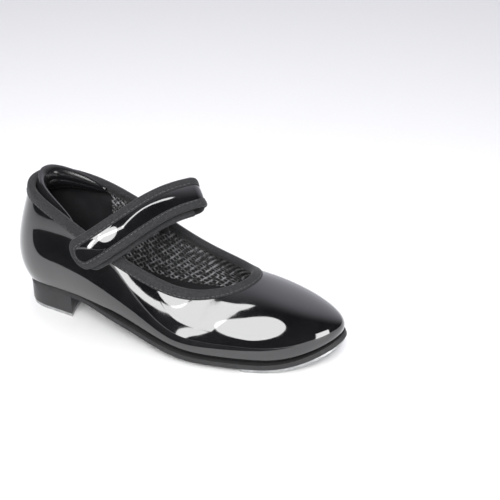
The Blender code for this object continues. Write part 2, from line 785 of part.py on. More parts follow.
def make_strap_bend():
    """Where the strap turns down towards the inner side of the shoe."""
    centre, along, across, up = bend_frame()
    sections = []
    for degrees in np.linspace(0.0, BEND_ANGLE, 9):
        ray = bend_ray(degrees)
        half = STRAP_WIDTH / 2 - (STRAP_WIDTH - ROOT_WIDTH) / 2 * degrees / BEND_ANGLE
        sections.append([centre + across * side * half + ray * (BEND_RADIUS + lift)
                         for side, lift in ((-1, -ROOT_THICKNESS / 2), (1, -ROOT_THICKNESS / 2),
                                            (1, ROOT_THICKNESS / 2), (-1, ROOT_THICKNESS / 2))])
    place("strap_bend", loft("strap_bend", sections, False), patent(), peel_axis() - ORIGIN)


def make_strap_root():
    """Inner end of the strap: from the bend down to the inside of the inner wall."""
    centre, along, across, up = bend_frame()
    down = up * -math.sin(math.radians(BEND_ANGLE)) + along * math.cos(math.radians(BEND_ANGLE))
    top = centre + bend_ray(BEND_ANGLE) * BEND_RADIUS + down * GAP
    inside = BINDING_INNER + BINDING_WALL + 1.6 * MM + ROOT_THICKNESS / 2
    wall_way = wall_point(ROOT_U - 0.01, 0.0, 0.0) - wall_point(ROOT_U + 0.01, 0.0, 0.0)
    wall_way /= np.linalg.norm(wall_way)
    line = np.array([top - down * 4 * MM, top, top + down * 7 * MM]
                    + [wall_point(ROOT_U, depth, inside) for depth in (-7 * MM, 2 * MM, 9 * MM)])
    sections = []
    steps = part_way(0.2, 1.0, 12)
    for s in steps:
        point = through(line, s, False)
        ahead = through(line, min(s + 0.02, 1.0), False) - through(line, s - 0.02, False)
        share = smoothstep((s - 0.25) / 0.5)
        way = across * (1 - share) + wall_way * share
        ahead /= np.linalg.norm(ahead)
        way -= ahead * way.dot(ahead)
        way *= ROOT_WIDTH / 2 / np.linalg.norm(way)
        face = np.cross(ahead, way)
        face *= ROOT_THICKNESS / 2 / np.linalg.norm(face)
        sections.append([point - way - face, point + way - face, point + way + face,
                         point - way + face])
    place("strap_root", loft("strap_root", sections, False), patent())


def tape(name, low, high, half, start, finish, shift=0.0, origin=(0.0, 0.0, 0.0)):
    """Strip of hook or loop tape between the two strap layers."""
    sections = []
    for s in part_way(start, finish, 10):
        sections.append([strap_point(s, side + shift, lift) for side, lift in
                         ((-half, low), (half, low), (half, high), (-half, high))])
    place(name, loft(name, sections, False), hook_loop(), origin)


def make_tapes():
    half = STRAP_WIDTH / 2 - STRAP_LEG - 0.5 * MM
    low = STRAP_CORE / 2 + GAP
    high = STRAP_PITCH - STRAP_CORE / 2 - GAP
    middle = (low + high) / 2
    tape("loop_tape", low, middle - GAP / 2, half, 0.26, 0.68, TAB_SHIFT)
    tape("hook_tape", middle + GAP / 2, high, half, 0.24, 0.58, 0.0, peel_axis() - ORIGIN)


def main():
    clear_scene()
    outsole, board = make_sole()
    make_shank()
    block, heel_tap = make_heel()
    toe_tap = make_toe_tap()
    make_heel_screws(block, heel_tap)
    make_toe_rivets(outsole, toe_tap)
    make_heel_nails(board, outsole, block)
    make_upper()
    make_topline_binding()
    make_collar()
    make_strap()
    make_strap_bend()
    make_strap_root()
    make_tapes()


main()
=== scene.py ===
"""Visual model of the child's tap shoe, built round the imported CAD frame.

Points are worked out in the CAD's own coordinates, from the back of the heel, in metres;
ORIGIN takes them to the frame's. u runs 0 to 1 round the shoe from the back of the heel,
along the outer side first; s runs 0 to 1 along the strap from its outer end.
"""

import math
import random
from functools import cache

import bmesh
import bpy
import numpy as np
from mathutils import Matrix, Vector


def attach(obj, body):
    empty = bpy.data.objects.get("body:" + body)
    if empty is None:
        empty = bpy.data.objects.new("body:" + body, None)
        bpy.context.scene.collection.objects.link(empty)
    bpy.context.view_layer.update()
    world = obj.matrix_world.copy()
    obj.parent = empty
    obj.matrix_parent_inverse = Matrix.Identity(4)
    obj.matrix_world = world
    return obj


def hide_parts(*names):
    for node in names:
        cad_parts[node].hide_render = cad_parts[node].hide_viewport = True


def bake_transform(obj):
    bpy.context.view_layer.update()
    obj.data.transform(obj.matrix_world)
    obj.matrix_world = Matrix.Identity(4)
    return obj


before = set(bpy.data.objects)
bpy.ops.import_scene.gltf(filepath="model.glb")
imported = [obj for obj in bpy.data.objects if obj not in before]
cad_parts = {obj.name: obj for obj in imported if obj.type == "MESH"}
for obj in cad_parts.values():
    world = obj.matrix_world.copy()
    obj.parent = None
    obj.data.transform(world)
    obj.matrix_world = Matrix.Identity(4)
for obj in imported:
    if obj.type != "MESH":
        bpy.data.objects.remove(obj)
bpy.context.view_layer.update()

MM = 0.001
SHOE = "shoe"
FLAP = "flap"

# --- the shoe's measures, as in the CAD ---
ORIGIN = np.array((99.87, -2.05, 0.0)) * MM
TAP_THICKNESS = 2.0 * MM
HEEL_SEAT = 13.7 * MM
GAP = 0.3 * MM
SOLE_FLAT = TAP_THICKNESS + GAP
HEEL_LENGTH = 41.5 * MM
TOE_TAP_START = 147.0 * MM
TOE_TAP_INSET = -1.0 * MM
TOE_TAP_CORNER = 6.0 * MM
TOE_TAP_BOW = 4.5 * MM
WAIST_START = 44.0 * MM
WAIST_END = 128.0 * MM
SPRING_START = 160.0 * MM
SPRING_LENGTH = 40.0 * MM
SPRING_RISE = 10.5 * MM
OUTSOLE = 3.0 * MM
SOLE_EDGE = 1.8 * MM
HEEL_EDGE = -1.4 * MM
MARGIN_LIFT = OUTSOLE + 0.8 * MM
MARGIN = 9.5 * MM
FEATHER_LIFT = MARGIN_LIFT + 1.0 * MM
SHELL = 1.2 * MM
CEMENT = 0.8 * MM
BOARD = 1.8 * MM
INSOCK_LIFT = MARGIN_LIFT + SHELL + CEMENT + BOARD + CEMENT
INSOCK = 2.5 * MM
INSOCK_INSET = 4.4 * MM
HEEL_INSET = 1.6 * MM
HEEL_TAP_INSET = 1.9 * MM
HEEL_BOW = -3 * MM
LAYER_GAP = 0.45 * MM
STIFFENER = 0.8 * MM
LINING = 0.8 * MM
BINDING_LEG = 5.6 * MM
BINDING_INNER = SHELL + 2 * LAYER_GAP + LINING
BINDING_WALL = 0.8 * MM
COLLAR_SIDE = BINDING_INNER + BINDING_WALL + GAP
SECTIONS = 48
COLLAR_END = 6.8 / SECTIONS
COLLAR_CORE_END = 0.11
STRAP_WIDTH = 18.5 * MM
STRAP_CORE = 1.2 * MM
STRAP_PITCH = 3.6 * MM
STRAP_LEG = 5.3 * MM
FIELD_EDGE = 4.6 * MM
FIELD_INSET = 1.4 * MM
FIELD_CROWN = 0.55 * MM
TAB_START = 0.135
TAB_FINISH = 0.95
TAB_SHIFT = 2.8 * MM
FLAP_START = 0.11
BEND_RADIUS = 4.5 * MM
BEND_ANGLE = 120.0
ROOT_WIDTH = 16.0 * MM
ROOT_U = 0.782
ROOT_CLEAR = 2.7 * MM

STATIONS = np.array((
    (5.0, 0.0, 10.5, 0.0, 76.0, 9.5, 15.0, 6.5, 22.0),
    (13.0, -16.5, 18.5, -14.0, 73.0, 7.0, 15.0, 6.0, 20.0),
    (33.0, -21.5, 40.0, -21.5, 65.5, 5.0, 15.0, 5.0, 18.0),
    (60.0, -26.0, 65.0, -25.5, 54.5, 3.5, 13.0, 4.0, 15.0),
    (88.0, -31.5, 89.0, -25.5, 44.0, 2.5, 12.0, 5.0, 11.0),
    (113.0, -36.5, 111.0, -22.5, 36.3, 2.5, 11.0, 6.5, 8.0),
    (141.0, -34.5, 129.0, -15.5, 36.0, 3.0, 12.0, 10.0, 5.5),
    (175.0, -23.0, 140.5, -7.0, 38.5, 3.0, 13.0, 16.0, 5.0),
    (197.0, 2.0, 144.0, 2.0, 40.0, 2.0, 12.0, 26.0, 6.0),
    (182.0, 21.0, 140.0, 10.5, 39.0, 2.0, 11.0, 14.0, 7.0),
    (155.0, 30.0, 129.0, 18.0, 38.0, 2.5, 12.0, 9.0, 8.0),
    (129.0, 32.0, 111.0, 22.5, 40.5, 2.5, 14.0, 7.0, 9.0),
    (97.0, 20.5, 91.0, 22.5, 49.0, 2.0, 13.0, 5.0, 13.0),
    (68.0, 17.0, 65.0, 22.5, 61.5, 3.0, 14.0, 5.0, 16.0),
    (38.0, 19.0, 40.0, 21.0, 71.0, 5.0, 15.0, 5.5, 18.0),
    (13.5, 15.0, 18.5, 14.0, 76.0, 7.0, 15.0, 6.0, 20.0),
)) * MM
STRAP_LINE = np.array((
    (49.0, -31.2, 46.5), (57.0, -31.2, 51.3), (66.0, -29.6, 57.4), (75.5, -20.5, 64.0),
    (84.5, -5.0, 69.5), (93.5, 7.5, 72.5), (101.5, 17.0, 73.3),
)) * MM
STRAP_ACROSS = np.array((
    (0.50, 0.00, -0.87), (0.52, -0.03, -0.85), (0.58, -0.12, -0.80), (0.60, -0.24, -0.76),
    (0.58, -0.30, -0.76), (0.61, -0.38, -0.70), (0.64, -0.43, -0.64),
))
HEEL_SCREWS = ((13.0, 0.0), (34.5, -13.5), (34.5, 12.5))
TOE_RIVETS = ((155.0, 14.5), (182.0, -1.0), (155.5, -20.0))


# The headings below are (turn, rise) in degrees, seen from the vamp.
VAMP = (0.04, -0.01, 0.03)
BOX_RADIANCE = 9.0
SOFTBOXES = (          # name, lower heading, upper heading, distance, width, shape
    ("front_box", (14.0, 21.5), (17.5, 61.0), 0.90, 0.52, "ELLIPSE"),
    ("front_strip", (-10.5, 29.5), (-12.0, 77.0), 0.95, 0.15, "RECTANGLE"),
    ("front_tail", (-20.0, -9.0), (-9.5, 29.0), 0.95, 0.10, "RECTANGLE"),
    ("toe_box", (73.0, -9.0), (73.0, 14.0), 0.70, 0.235, "RECTANGLE"),
)
STRAP_BOXES = (
    ("strap_bar_low", (-17.0, 2.0), (4.0, 36.0), 0.90, 0.15, "RECTANGLE"),
    ("strap_bar_mid", (5.0, 37.0), (52.0, 50.0), 0.90, 0.10, "RECTANGLE"),
    ("strap_bar_high", (50.0, 50.0), (82.0, 65.0), 0.90, 0.05, "RECTANGLE"),
)
WASH_POWER = 22.0
WASH_SIZE = 3.0
WASH_PLACE = (0.3, 0.6, 2.2)
SKY_WAY = (-0.12, 0.80, 0.58)
SKY_FADE = (0.25, 0.95)
SKY_DARK = (0.012, 0.012, 0.013, 1.0)
SKY_LIGHT = (1.10, 1.10, 1.20, 1.0)
BACKDROP = (0.95, 0.95, 0.95, 1.0)
FLOOR_HALF = 3.0
FLOOR_DROP = 0.0002
CARD_LIFT = 0.4
FLAGS = (              # corners on the floor, in millimetres
    ((-98, -60), (0, -54), (60, -78), (120, -120), (260, -200), (260, -900), (-160, -900),
     (-200, -420), (-260, -300), (-330, -200), (-320, -130), (-200, -88), (-130, -68)),
    ((-640, -900), (-640, 900), (-3000, 900), (-3000, -900)),
)


# --- camera, lights and floor ---
CAMERA_PLACE = (0.15449, -0.35343, 0.26084)
CAMERA_ANGLES = (17.536, 28.818, 2.688)
CAMERA_LENS = 56.75


def placed(name, data):
    """New object in the scene."""
    obj = bpy.data.objects.new(name, data)
    bpy.context.collection.objects.link(obj)
    return obj


def make_camera():
    """Standard camera above the outer side, turned towards the toe."""
    data = bpy.data.cameras.new("view")
    data.sensor_width = 36.0
    data.lens = CAMERA_LENS
    data.clip_start = 0.01
    cam = placed("view", data)
    turn, rise, roll = (math.radians(v) for v in CAMERA_ANGLES)
    right = Vector((math.cos(turn), math.sin(turn), 0.0))
    up = Vector((-math.sin(turn) * math.sin(rise), math.cos(turn) * math.sin(rise), math.cos(rise)))
    back = right.cross(up)
    axes = (right * math.cos(roll) + up * math.sin(roll),
            up * math.cos(roll) - right * math.sin(roll), back)
    cam.matrix_world = Matrix.Translation(CAMERA_PLACE) @ Matrix(axes).transposed().to_4x4()
    bpy.context.scene.camera = cam


def heading(turn, rise):
    """Unit vector from the shoe's vamp at a turn and a rise in degrees."""
    turn, rise = math.radians(turn), math.radians(rise)
    return Vector((math.sin(turn) * math.cos(rise), -math.cos(turn) * math.cos(rise), math.sin(rise)))


def softbox(name, low, high, distance, width, shape):
    """Soft light facing the vamp, reaching from one heading to another."""
    low, high = heading(*low), heading(*high)
    way = (low + high).normalized()
    data = bpy.data.lights.new(name, "AREA")
    data.shape = shape
    data.size = width
    data.size_y = 2 * distance * math.tan(low.angle(high) / 2)
    filled = math.pi / 4 if shape == "ELLIPSE" else 1.0
    data.energy = BOX_RADIANCE * math.pi * data.size * data.size_y * filled
    along = (high - low).normalized()
    lamp = placed(name, data)
    lamp.matrix_world = (Matrix.Translation(Vector(VAMP) + distance * way)
                         @ Matrix((along.cross(way), along, way)).transposed().to_4x4())
    lamp.visible_camera = False
    return lamp


def only_on(lamp, name, pieces):
    """Flag a light off from everything but these pieces."""
    lit = bpy.data.collections.new(name)
    for obj in pieces:
        lit.objects.link(obj)
    lamp.light_linking.receiver_collection = lit


def black_flag(index, corners):
    """Dark card on the floor, seen only in the shoe's gloss."""
    look = Look(f"flag_cloth_{index}", (0.004, 0.004, 0.004), 0.9)
    look.colour(look.mix(look.noise(90.0), (0.003, 0.003, 0.003), (0.006, 0.006, 0.006)))
    mesh = bpy.data.meshes.new(f"flag_{index}")
    points = [(x * MM, y * MM, CARD_LIFT * MM) for x, y in corners]
    mesh.from_pydata(points, [], [list(range(len(corners)))])
    mesh.materials.append(look.material)
    flag = placed(f"flag_{index}", mesh)
    for sight in ("camera", "diffuse", "shadow", "transmission", "volume_scatter"):
        setattr(flag, "visible_" + sight, False)


def make_world():
    """Dark room with one pale side behind the shoe; the camera itself sees a white backdrop."""
    world = bpy.data.worlds.new("studio")
    world.use_nodes = True
    nodes, links = world.node_tree.nodes, world.node_tree.links
    sky = nodes["Background"]
    sky.inputs["Strength"].default_value = 1.0
    way = nodes.new("ShaderNodeVectorMath")
    way.operation = "DOT_PRODUCT"
    way.inputs[1].default_value = SKY_WAY
    links.new(nodes.new("ShaderNodeTexCoord").outputs["Generated"], way.inputs[0])
    fade = nodes.new("ShaderNodeMapRange")
    fade.interpolation_type = "SMOOTHSTEP"
    fade.inputs["From Min"].default_value, fade.inputs["From Max"].default_value = SKY_FADE
    links.new(way.outputs["Value"], fade.inputs["Value"])
    tone = nodes.new("ShaderNodeMix")
    tone.data_type = "RGBA"
    tone.inputs[6].default_value = SKY_DARK
    tone.inputs[7].default_value = SKY_LIGHT
    links.new(fade.outputs[0], tone.inputs[0])
    wall = nodes.new("ShaderNodeMix")
    wall.data_type = "RGBA"
    wall.inputs[7].default_value = BACKDROP
    links.new(nodes.new("ShaderNodeLightPath").outputs["Is Camera Ray"], wall.inputs[0])
    links.new(tone.outputs[2], wall.inputs[6])
    links.new(wall.outputs[2], sky.inputs["Color"])
    bpy.context.scene.world = world
    bpy.context.scene.view_settings.view_transform = "Standard"


def make_floor():
    look = Look("floor_paper", (0.86, 0.86, 0.86), 0.6)
    look.colour(look.mix(look.noise(220.0, 4.0), (0.85, 0.85, 0.852), (0.88, 0.88, 0.88)))
    bm = bmesh.new()
    bmesh.ops.create_grid(bm, x_segments=8, y_segments=8, size=FLOOR_HALF)
    mesh = bpy.data.meshes.new("floor")
    bm.to_mesh(mesh)
    bm.free()
    mesh.materials.append(look.material)
    floor = placed("floor", mesh)
    floor.location.z = -FLOOR_DROP
    return floor


def make_stage():
    make_world()
    floor = make_floor()
    data = bpy.data.lights.new("floor_wash", "AREA")
    data.size = WASH_SIZE
    data.energy = WASH_POWER
    wash = placed("floor_wash", data)
    wash.location = WASH_PLACE
    wash.visible_camera = False
    only_on(wash, "floor_light", [floor])
    for row in SOFTBOXES:
        softbox(*row)
    for index, corners in enumerate(FLAGS, 1):
        black_flag(index, corners)


# --- materials ---
class Look:
    """A Principled material, with short ways to add the nodes of its pattern."""

    def __init__(self, name, colour, roughness, metallic=0.0, **more):
        self.material = bpy.data.materials.new(name)
        self.material.use_nodes = True
        self.tree = self.material.node_tree
        self.shader = self.tree.nodes["Principled BSDF"]
        self.height = None
        self.shader.inputs["Base Color"].default_value = (*colour, 1.0)
        self.shader.inputs["Roughness"].default_value = roughness
        self.shader.inputs["Metallic"].default_value = metallic
        for socket, value in more.items():
            self.shader.inputs[socket.replace("_", " ").title()].default_value = value

    def node(self, kind, inputs=(), **settings):
        made = self.tree.nodes.new("ShaderNode" + kind)
        for key, value in settings.items():
            setattr(made, key, value)
        for key, value in dict(inputs).items():
            if isinstance(value, bpy.types.NodeSocket):
                self.tree.links.new(value, made.inputs[key])
            else:
                made.inputs[key].default_value = value
        return made

    def place(self, stretch=None):
        coords = self.node("TexCoord").outputs["Object"]
        if stretch is None:
            return coords
        return self.node("Mapping", {"Vector": coords, "Scale": stretch}).outputs["Vector"]

    def threads(self):
        """Metres along and across the cloth."""
        along, across, _ = self.node("SeparateXYZ", {0: self.node("TexCoord").outputs["UV"]}).outputs
        return along, across

    def noise(self, scale, detail=3.0, stretch=None, rough=0.5):
        return self.node("TexNoise", {"Vector": self.place(stretch), "Scale": scale,
                                      "Detail": detail, "Roughness": rough}).outputs["Fac"]

    def cells(self, scale):
        return self.node("TexVoronoi", {"Vector": self.place(), "Scale": scale}).outputs["Distance"]

    def math(self, operation, *values):
        return self.node("Math", dict(enumerate(values)), operation=operation).outputs[0]

    def fit(self, value, low, high, to_low=0.0, to_high=1.0):
        return self.node("MapRange", {"Value": value, "From Min": low, "From Max": high,
                                      "To Min": to_low, "To Max": to_high}).outputs[0]

    def mix(self, share, first, second):
        made = self.node("Mix", data_type="RGBA")
        for index, value in ((0, share), (6, first), (7, second)):
            if isinstance(value, bpy.types.NodeSocket):
                self.tree.links.new(value, made.inputs[index])
            else:
                made.inputs[index].default_value = value if index == 0 else (*value[:3], 1.0)
        return made.outputs[2]

    def colour(self, socket):
        self.tree.links.new(socket, self.shader.inputs["Base Color"])
        return self

    def roughness(self, socket):
        self.tree.links.new(socket, self.shader.inputs["Roughness"])
        return self

    def worn(self, scale, detail, smooth, rough):
        """Roughness that drifts between two values."""
        return self.roughness(self.fit(self.noise(scale, detail), 0.3, 0.7, smooth, rough))

    def bump(self, height, distance):
        """Adds one bump on top of those before it; distance is in metres."""
        inputs = {"Height": height, "Distance": distance}
        if self.height:
            inputs["Normal"] = self.height
        self.height = self.node("Bump", inputs).outputs["Normal"]
        self.tree.links.new(self.height, self.shader.inputs["Normal"])
        return self


@cache
def patent():
    look = Look("patent", (0.005, 0.005, 0.006), 0.05, coat_weight=1.0, coat_roughness=0.02)
    look.shader.inputs["IOR"].default_value = 1.52
    cloud = look.noise(38.0, 4.0)
    tint = look.fit(cloud, 0.35, 0.65)
    look.colour(look.mix(tint, (0.0035, 0.0035, 0.0042), (0.0085, 0.0085, 0.0095)))
    look.roughness(look.fit(look.noise(120.0, 5.0), 0.3, 0.75, 0.035, 0.10))
    look.bump(look.noise(55.0, 2.0), 0.00012)
    look.bump(look.noise(1400.0, 2.0), 0.000004)
    return look.material


RIB = 0.00062
YARN = 0.0005


@cache
def grosgrain():
    look = Look("grosgrain", (0.05, 0.05, 0.054), 0.85, sheen_weight=0.12, sheen_roughness=0.4)
    along, across = look.threads()
    rib = look.math("SINE", look.math("MULTIPLY", along, math.tau / RIB))
    thread = look.math("SINE", look.math("MULTIPLY", across, math.tau / YARN))
    weave = look.fit(look.math("ADD", rib, look.math("MULTIPLY", thread, 0.6)), -1.6, 1.6)
    fleck = look.fit(look.noise(1100.0, 3.0, rough=0.7), 0.36, 0.66)
    dull = look.mix(fleck, (0.004, 0.004, 0.0045), (0.032, 0.032, 0.035))
    look.colour(look.mix(look.math("MULTIPLY", weave, 0.45), dull, (0.034, 0.034, 0.037)))
    look.bump(weave, 0.00012)
    look.bump(look.noise(700.0, 3.0), 0.00015)
    return look.material


@cache
def thread():
    look = Look("thread", (0.03, 0.03, 0.032), 0.6, sheen_weight=0.3)
    twist = look.math("SINE", look.math("MULTIPLY", look.noise(900.0, 1.0), 30.0))
    look.colour(look.mix(look.fit(twist, -1.0, 1.0), (0.016, 0.016, 0.017), (0.06, 0.06, 0.064)))
    look.bump(twist, 0.00005)
    return look.material


@cache
def collar_skin():
    look = Look("collar_skin", (0.008, 0.008, 0.009), 0.26, coat_weight=0.35, coat_roughness=0.12)
    look.colour(look.mix(look.noise(60.0, 4.0), (0.006, 0.006, 0.007), (0.014, 0.014, 0.015)))
    look.worn(180.0, 4.0, 0.16, 0.24)
    look.bump(look.cells(2600.0), 0.00002)
    look.bump(look.noise(60.0, 2.0), 0.00008)
    return look.material


@cache
def smooth_lining():
    look = Look("smooth_lining", (0.012, 0.012, 0.013), 0.38)
    look.colour(look.mix(look.noise(70.0, 5.0), (0.008, 0.008, 0.009), (0.022, 0.022, 0.024)))
    look.worn(140.0, 5.0, 0.32, 0.5)
    look.bump(look.cells(1700.0), 0.00004)
    look.bump(look.noise(120.0, 3.0), 0.00025)
    return look.material


KNIT_LONG = 0.0040
KNIT_WIDE = 0.0033


def lattice(look):
    """1 on the threads of a knit of diamonds, 0 between them."""
    along, across = look.threads()
    one = look.math("MULTIPLY", along, 1 / KNIT_LONG)
    two = look.math("MULTIPLY", across, 1 / KNIT_WIDE)
    near = [look.math("PINGPONG", look.math(way, one, two), 0.5) for way in ("ADD", "SUBTRACT")]
    return look.fit(look.math("MINIMUM", *near), 0.06, 0.24, 1.0, 0.0)


@cache
def mesh_lining():
    look = Look("mesh_lining", (0.02, 0.02, 0.022), 0.6, sheen_weight=0.2)
    knit = lattice(look)
    # Painted glints: noise scatters grey patches over the black knit's threads, standing in for light caught
    # by the yarn; the gaps between threads are coloured darker than the threads.
    painted_glint = look.fit(look.noise(420.0, 2.0), 0.42, 0.64)
    lit = look.mix(painted_glint, (0.02, 0.02, 0.021), (0.32, 0.32, 0.335))
    look.colour(look.mix(knit, (0.003, 0.003, 0.0035), lit))
    look.roughness(look.fit(knit, 0.0, 1.0, 0.8, 0.42))
    look.bump(knit, 0.00035)
    look.bump(look.noise(2200.0, 2.0), 0.00005)
    return look.material


@cache
def sole_stock():
    look = Look("sole_stock", (0.042, 0.042, 0.044), 0.62)
    look.colour(look.mix(look.noise(160.0, 6.0), (0.012, 0.012, 0.013), (0.024, 0.024, 0.025)))
    look.worn(300.0, 4.0, 0.5, 0.72)
    look.bump(look.noise(1500.0, 4.0), 0.00006)
    look.bump(look.noise(90.0, 3.0, (1.0, 1.0, 5.0)), 0.00006)
    return look.material


@cache
def heel_stock():
    look = Look("heel_stock", (0.075, 0.075, 0.08), 0.36)
    look.colour(look.mix(look.noise(110.0, 5.0), (0.016, 0.016, 0.017), (0.025, 0.025, 0.027)))
    look.worn(260.0, 4.0, 0.30, 0.46)
    look.bump(look.cells(1900.0), 0.00003)
    look.bump(look.noise(140.0, 2.0), 0.00015)
    return look.material


def metal(name, dark, light, rough, scale=900.0, stretch=None):
    look = Look(name, light, rough, 1.0)
    cloud = look.noise(240.0, 5.0, rough=0.6)
    look.colour(look.mix(look.fit(cloud, 0.34, 0.66), dark, light))
    brush = look.noise(scale, 4.0, stretch)
    look.roughness(look.fit(brush, 0.3, 0.7, rough - 0.08, rough + 0.12))
    look.bump(brush, 0.00002)
    look.bump(look.cells(1300.0), 0.000012)
    return look.material


@cache
def tap_alloy():
    return metal("tap_alloy", (0.36, 0.365, 0.37), (0.55, 0.555, 0.56), 0.36, 500.0, (0.25, 2.5, 1.0))


@cache
def bright_steel():
    return metal("bright_steel", (0.5, 0.5, 0.51), (0.68, 0.68, 0.69), 0.22)


@cache
def dull_steel():
    return metal("dull_steel", (0.34, 0.34, 0.35), (0.5, 0.5, 0.51), 0.38, 700.0, (0.2, 2.0, 1.0))


@cache
def fibre_board():
    look = Look("fibre_board", (0.30, 0.22, 0.14), 0.9)
    fibre = look.noise(420.0, 6.0, (0.4, 1.6, 1.0), rough=0.65)
    look.colour(look.mix(look.fit(fibre, 0.35, 0.65), (0.20, 0.145, 0.095), (0.40, 0.30, 0.20)))
    look.bump(fibre, 0.00008)
    return look.material


@cache
def foam():
    look = Look("foam", (0.35, 0.34, 0.32), 0.95)
    pores = look.cells(1500.0)
    look.colour(look.mix(pores, (0.22, 0.215, 0.20), (0.44, 0.43, 0.40)))
    look.bump(pores, 0.0002)
    return look.material


@cache
def hook_loop():
    look = Look("hook_loop", (0.012, 0.012, 0.013), 0.9, sheen_weight=0.35)
    fuzz = look.noise(1800.0, 5.0, rough=0.75)
    look.colour(look.mix(look.fit(fuzz, 0.35, 0.65), (0.006, 0.006, 0.006), (0.03, 0.03, 0.032)))
    look.bump(fuzz, 0.0003)
    return look.material


# --- the shoe's surfaces ---
def bends(rows, closed):
    """Second differences of the smooth curve through evenly spaced rows."""
    count = len(rows)
    system = 4 * np.eye(count) + np.eye(count, k=1) + np.eye(count, k=-1)
    if closed:
        system[0, -1] = system[-1, 0] = 1.0
    wanted = 6 * (np.roll(rows, -1, 0) - 2 * rows + np.roll(rows, 1, 0))
    if not closed:
        for end in (0, -1):
            system[end] = 0.0
            system[end, end] = 1.0
            wanted[end] = 0.0
    return np.linalg.solve(system, wanted)


def curve_point(rows, curve, place, closed):
    count = len(rows)
    if closed:
        at = (place % 1.0) * count
        first = min(int(at), count - 1)
        second = (first + 1) % count
    else:
        at = min(max(place, 0.0), 1.0) * (count - 1)
        first = min(int(at), count - 2)
        second = first + 1
    t = at - first
    back = 1 - t
    return (back * rows[first] + t * rows[second]
            + ((back ** 3 - back) * curve[first] + (t ** 3 - t) * curve[second]) / 6)


STATION_BENDS = bends(STATIONS, True)
STRAP_BENDS = bends(STRAP_LINE, False)
ACROSS_BENDS = bends(STRAP_ACROSS, False)
UP = np.array((0.0, 0.0, 1.0))


def unit(vector):
    return vector / np.linalg.norm(vector, axis=-1, keepdims=True)


def smoothstep(value):
    value = np.clip(value, 0.0, 1.0)
    return value * value * (3 - 2 * value)


def run_along(points):
    """Length run from the first point of a line to each of its points."""
    steps = np.linalg.norm(np.diff(points, axis=0), axis=1)
    return np.concatenate(((0.0,), np.cumsum(steps)))


def underside(x):
    waist = smoothstep((WAIST_END - x) / (WAIST_END - WAIST_START))
    spring = np.maximum((x - SPRING_START) / SPRING_LENGTH, 0.0)
    return SOLE_FLAT + (HEEL_SEAT - SOLE_FLAT) * waist + SPRING_RISE * spring ** 2


@cache
def station(u):
    return curve_point(STATIONS, STATION_BENDS, u, True)


@cache
def outward(u):
    step = station(u + 0.004)[:2] - station(u - 0.004)[:2]
    return unit(np.array((step[1], -step[0], 0.0)))


def outline(u, inset, lift=0.0):
    point = np.array((*station(u)[:2], 0.0)) - inset * outward(u)
    point[2] = underside(point[0]) + lift
    return point


WALL_STEPS = np.linspace(0.0, 1.0, 81)


def wall_curve(u):
    row = station(u)
    low = outline(u, 0.0, FEATHER_LIFT)
    top = row[2:5]
    low_handle = low + row[5] * outward(u) + row[6] * UP
    top_handle = top + row[7] * outward(u) - row[8] * UP
    t = WALL_STEPS[:, None]
    return ((1 - t) ** 3 * low + 3 * t * (1 - t) ** 2 * low_handle
            + 3 * t * t * (1 - t) * top_handle + t ** 3 * top)


@cache
def wall_table(u):
    points = wall_curve(u)
    along = wall_curve(u + 0.003) - wall_curve(u - 0.003)
    normals = unit(np.cross(along, np.gradient(points, axis=0)))
    steps = np.linalg.norm(np.diff(points, axis=0), axis=1)
    depth = np.concatenate((np.cumsum(steps[::-1])[::-1], (0.0,)))
    return points, normals, depth


def wall(u, depths, inward):
    """Points at depths below the topline, moved in from the outer face of the upper."""
    points, normals, table = wall_table(u)
    depths = np.atleast_1d(np.asarray(depths, float))
    at = np.stack([np.interp(depths, table[::-1], points[::-1, k]) for k in range(3)], 1)
    out = unit(np.stack([np.interp(depths, table[::-1], normals[::-1, k]) for k in range(3)], 1))
    above = np.maximum(-depths, 0.0)[:, None] * unit(points[-1] - points[-4])
    return at + above - np.atleast_1d(inward)[:, None] * out


def u_at(x, inner):
    places = np.linspace(0.95, 0.5, 300) if inner else np.linspace(0.05, 0.5, 300)
    return float(np.interp(x, [station(float(u))[0] for u in places], places))


def topline_places(step):
    """Places round the topline, evenly spaced by about step; the last closes the ring."""
    fine = np.linspace(0.0, 1.0, 1201)
    points = np.array([station(float(u))[2:5] for u in fine])
    run = run_along(points)
    count = int(round(run[-1] / step))
    return [float(u) for u in np.interp(np.linspace(0.0, run[-1], count + 1), run, fine)], run[-1]


# --- mesh makers ---
def face_out(mesh, weld=0.0):
    """Weld points this close, and turn the faces outward."""
    bm = bmesh.new()
    bm.from_mesh(mesh)
    if weld:
        bmesh.ops.remove_doubles(bm, verts=bm.verts, dist=weld)
    bmesh.ops.recalc_face_normals(bm, faces=bm.faces)
    bm.to_mesh(mesh)
    bm.free()


def smooth_ring(points, count):
    """The same ring drawn with count evenly placed points of a smooth curve."""
    rows = np.array(points, float)
    curve = bends(rows, True)
    places = np.linspace(0.0, 1.0, count, endpoint=False)
    return np.array([curve_point(rows, curve, float(p), True) for p in places])


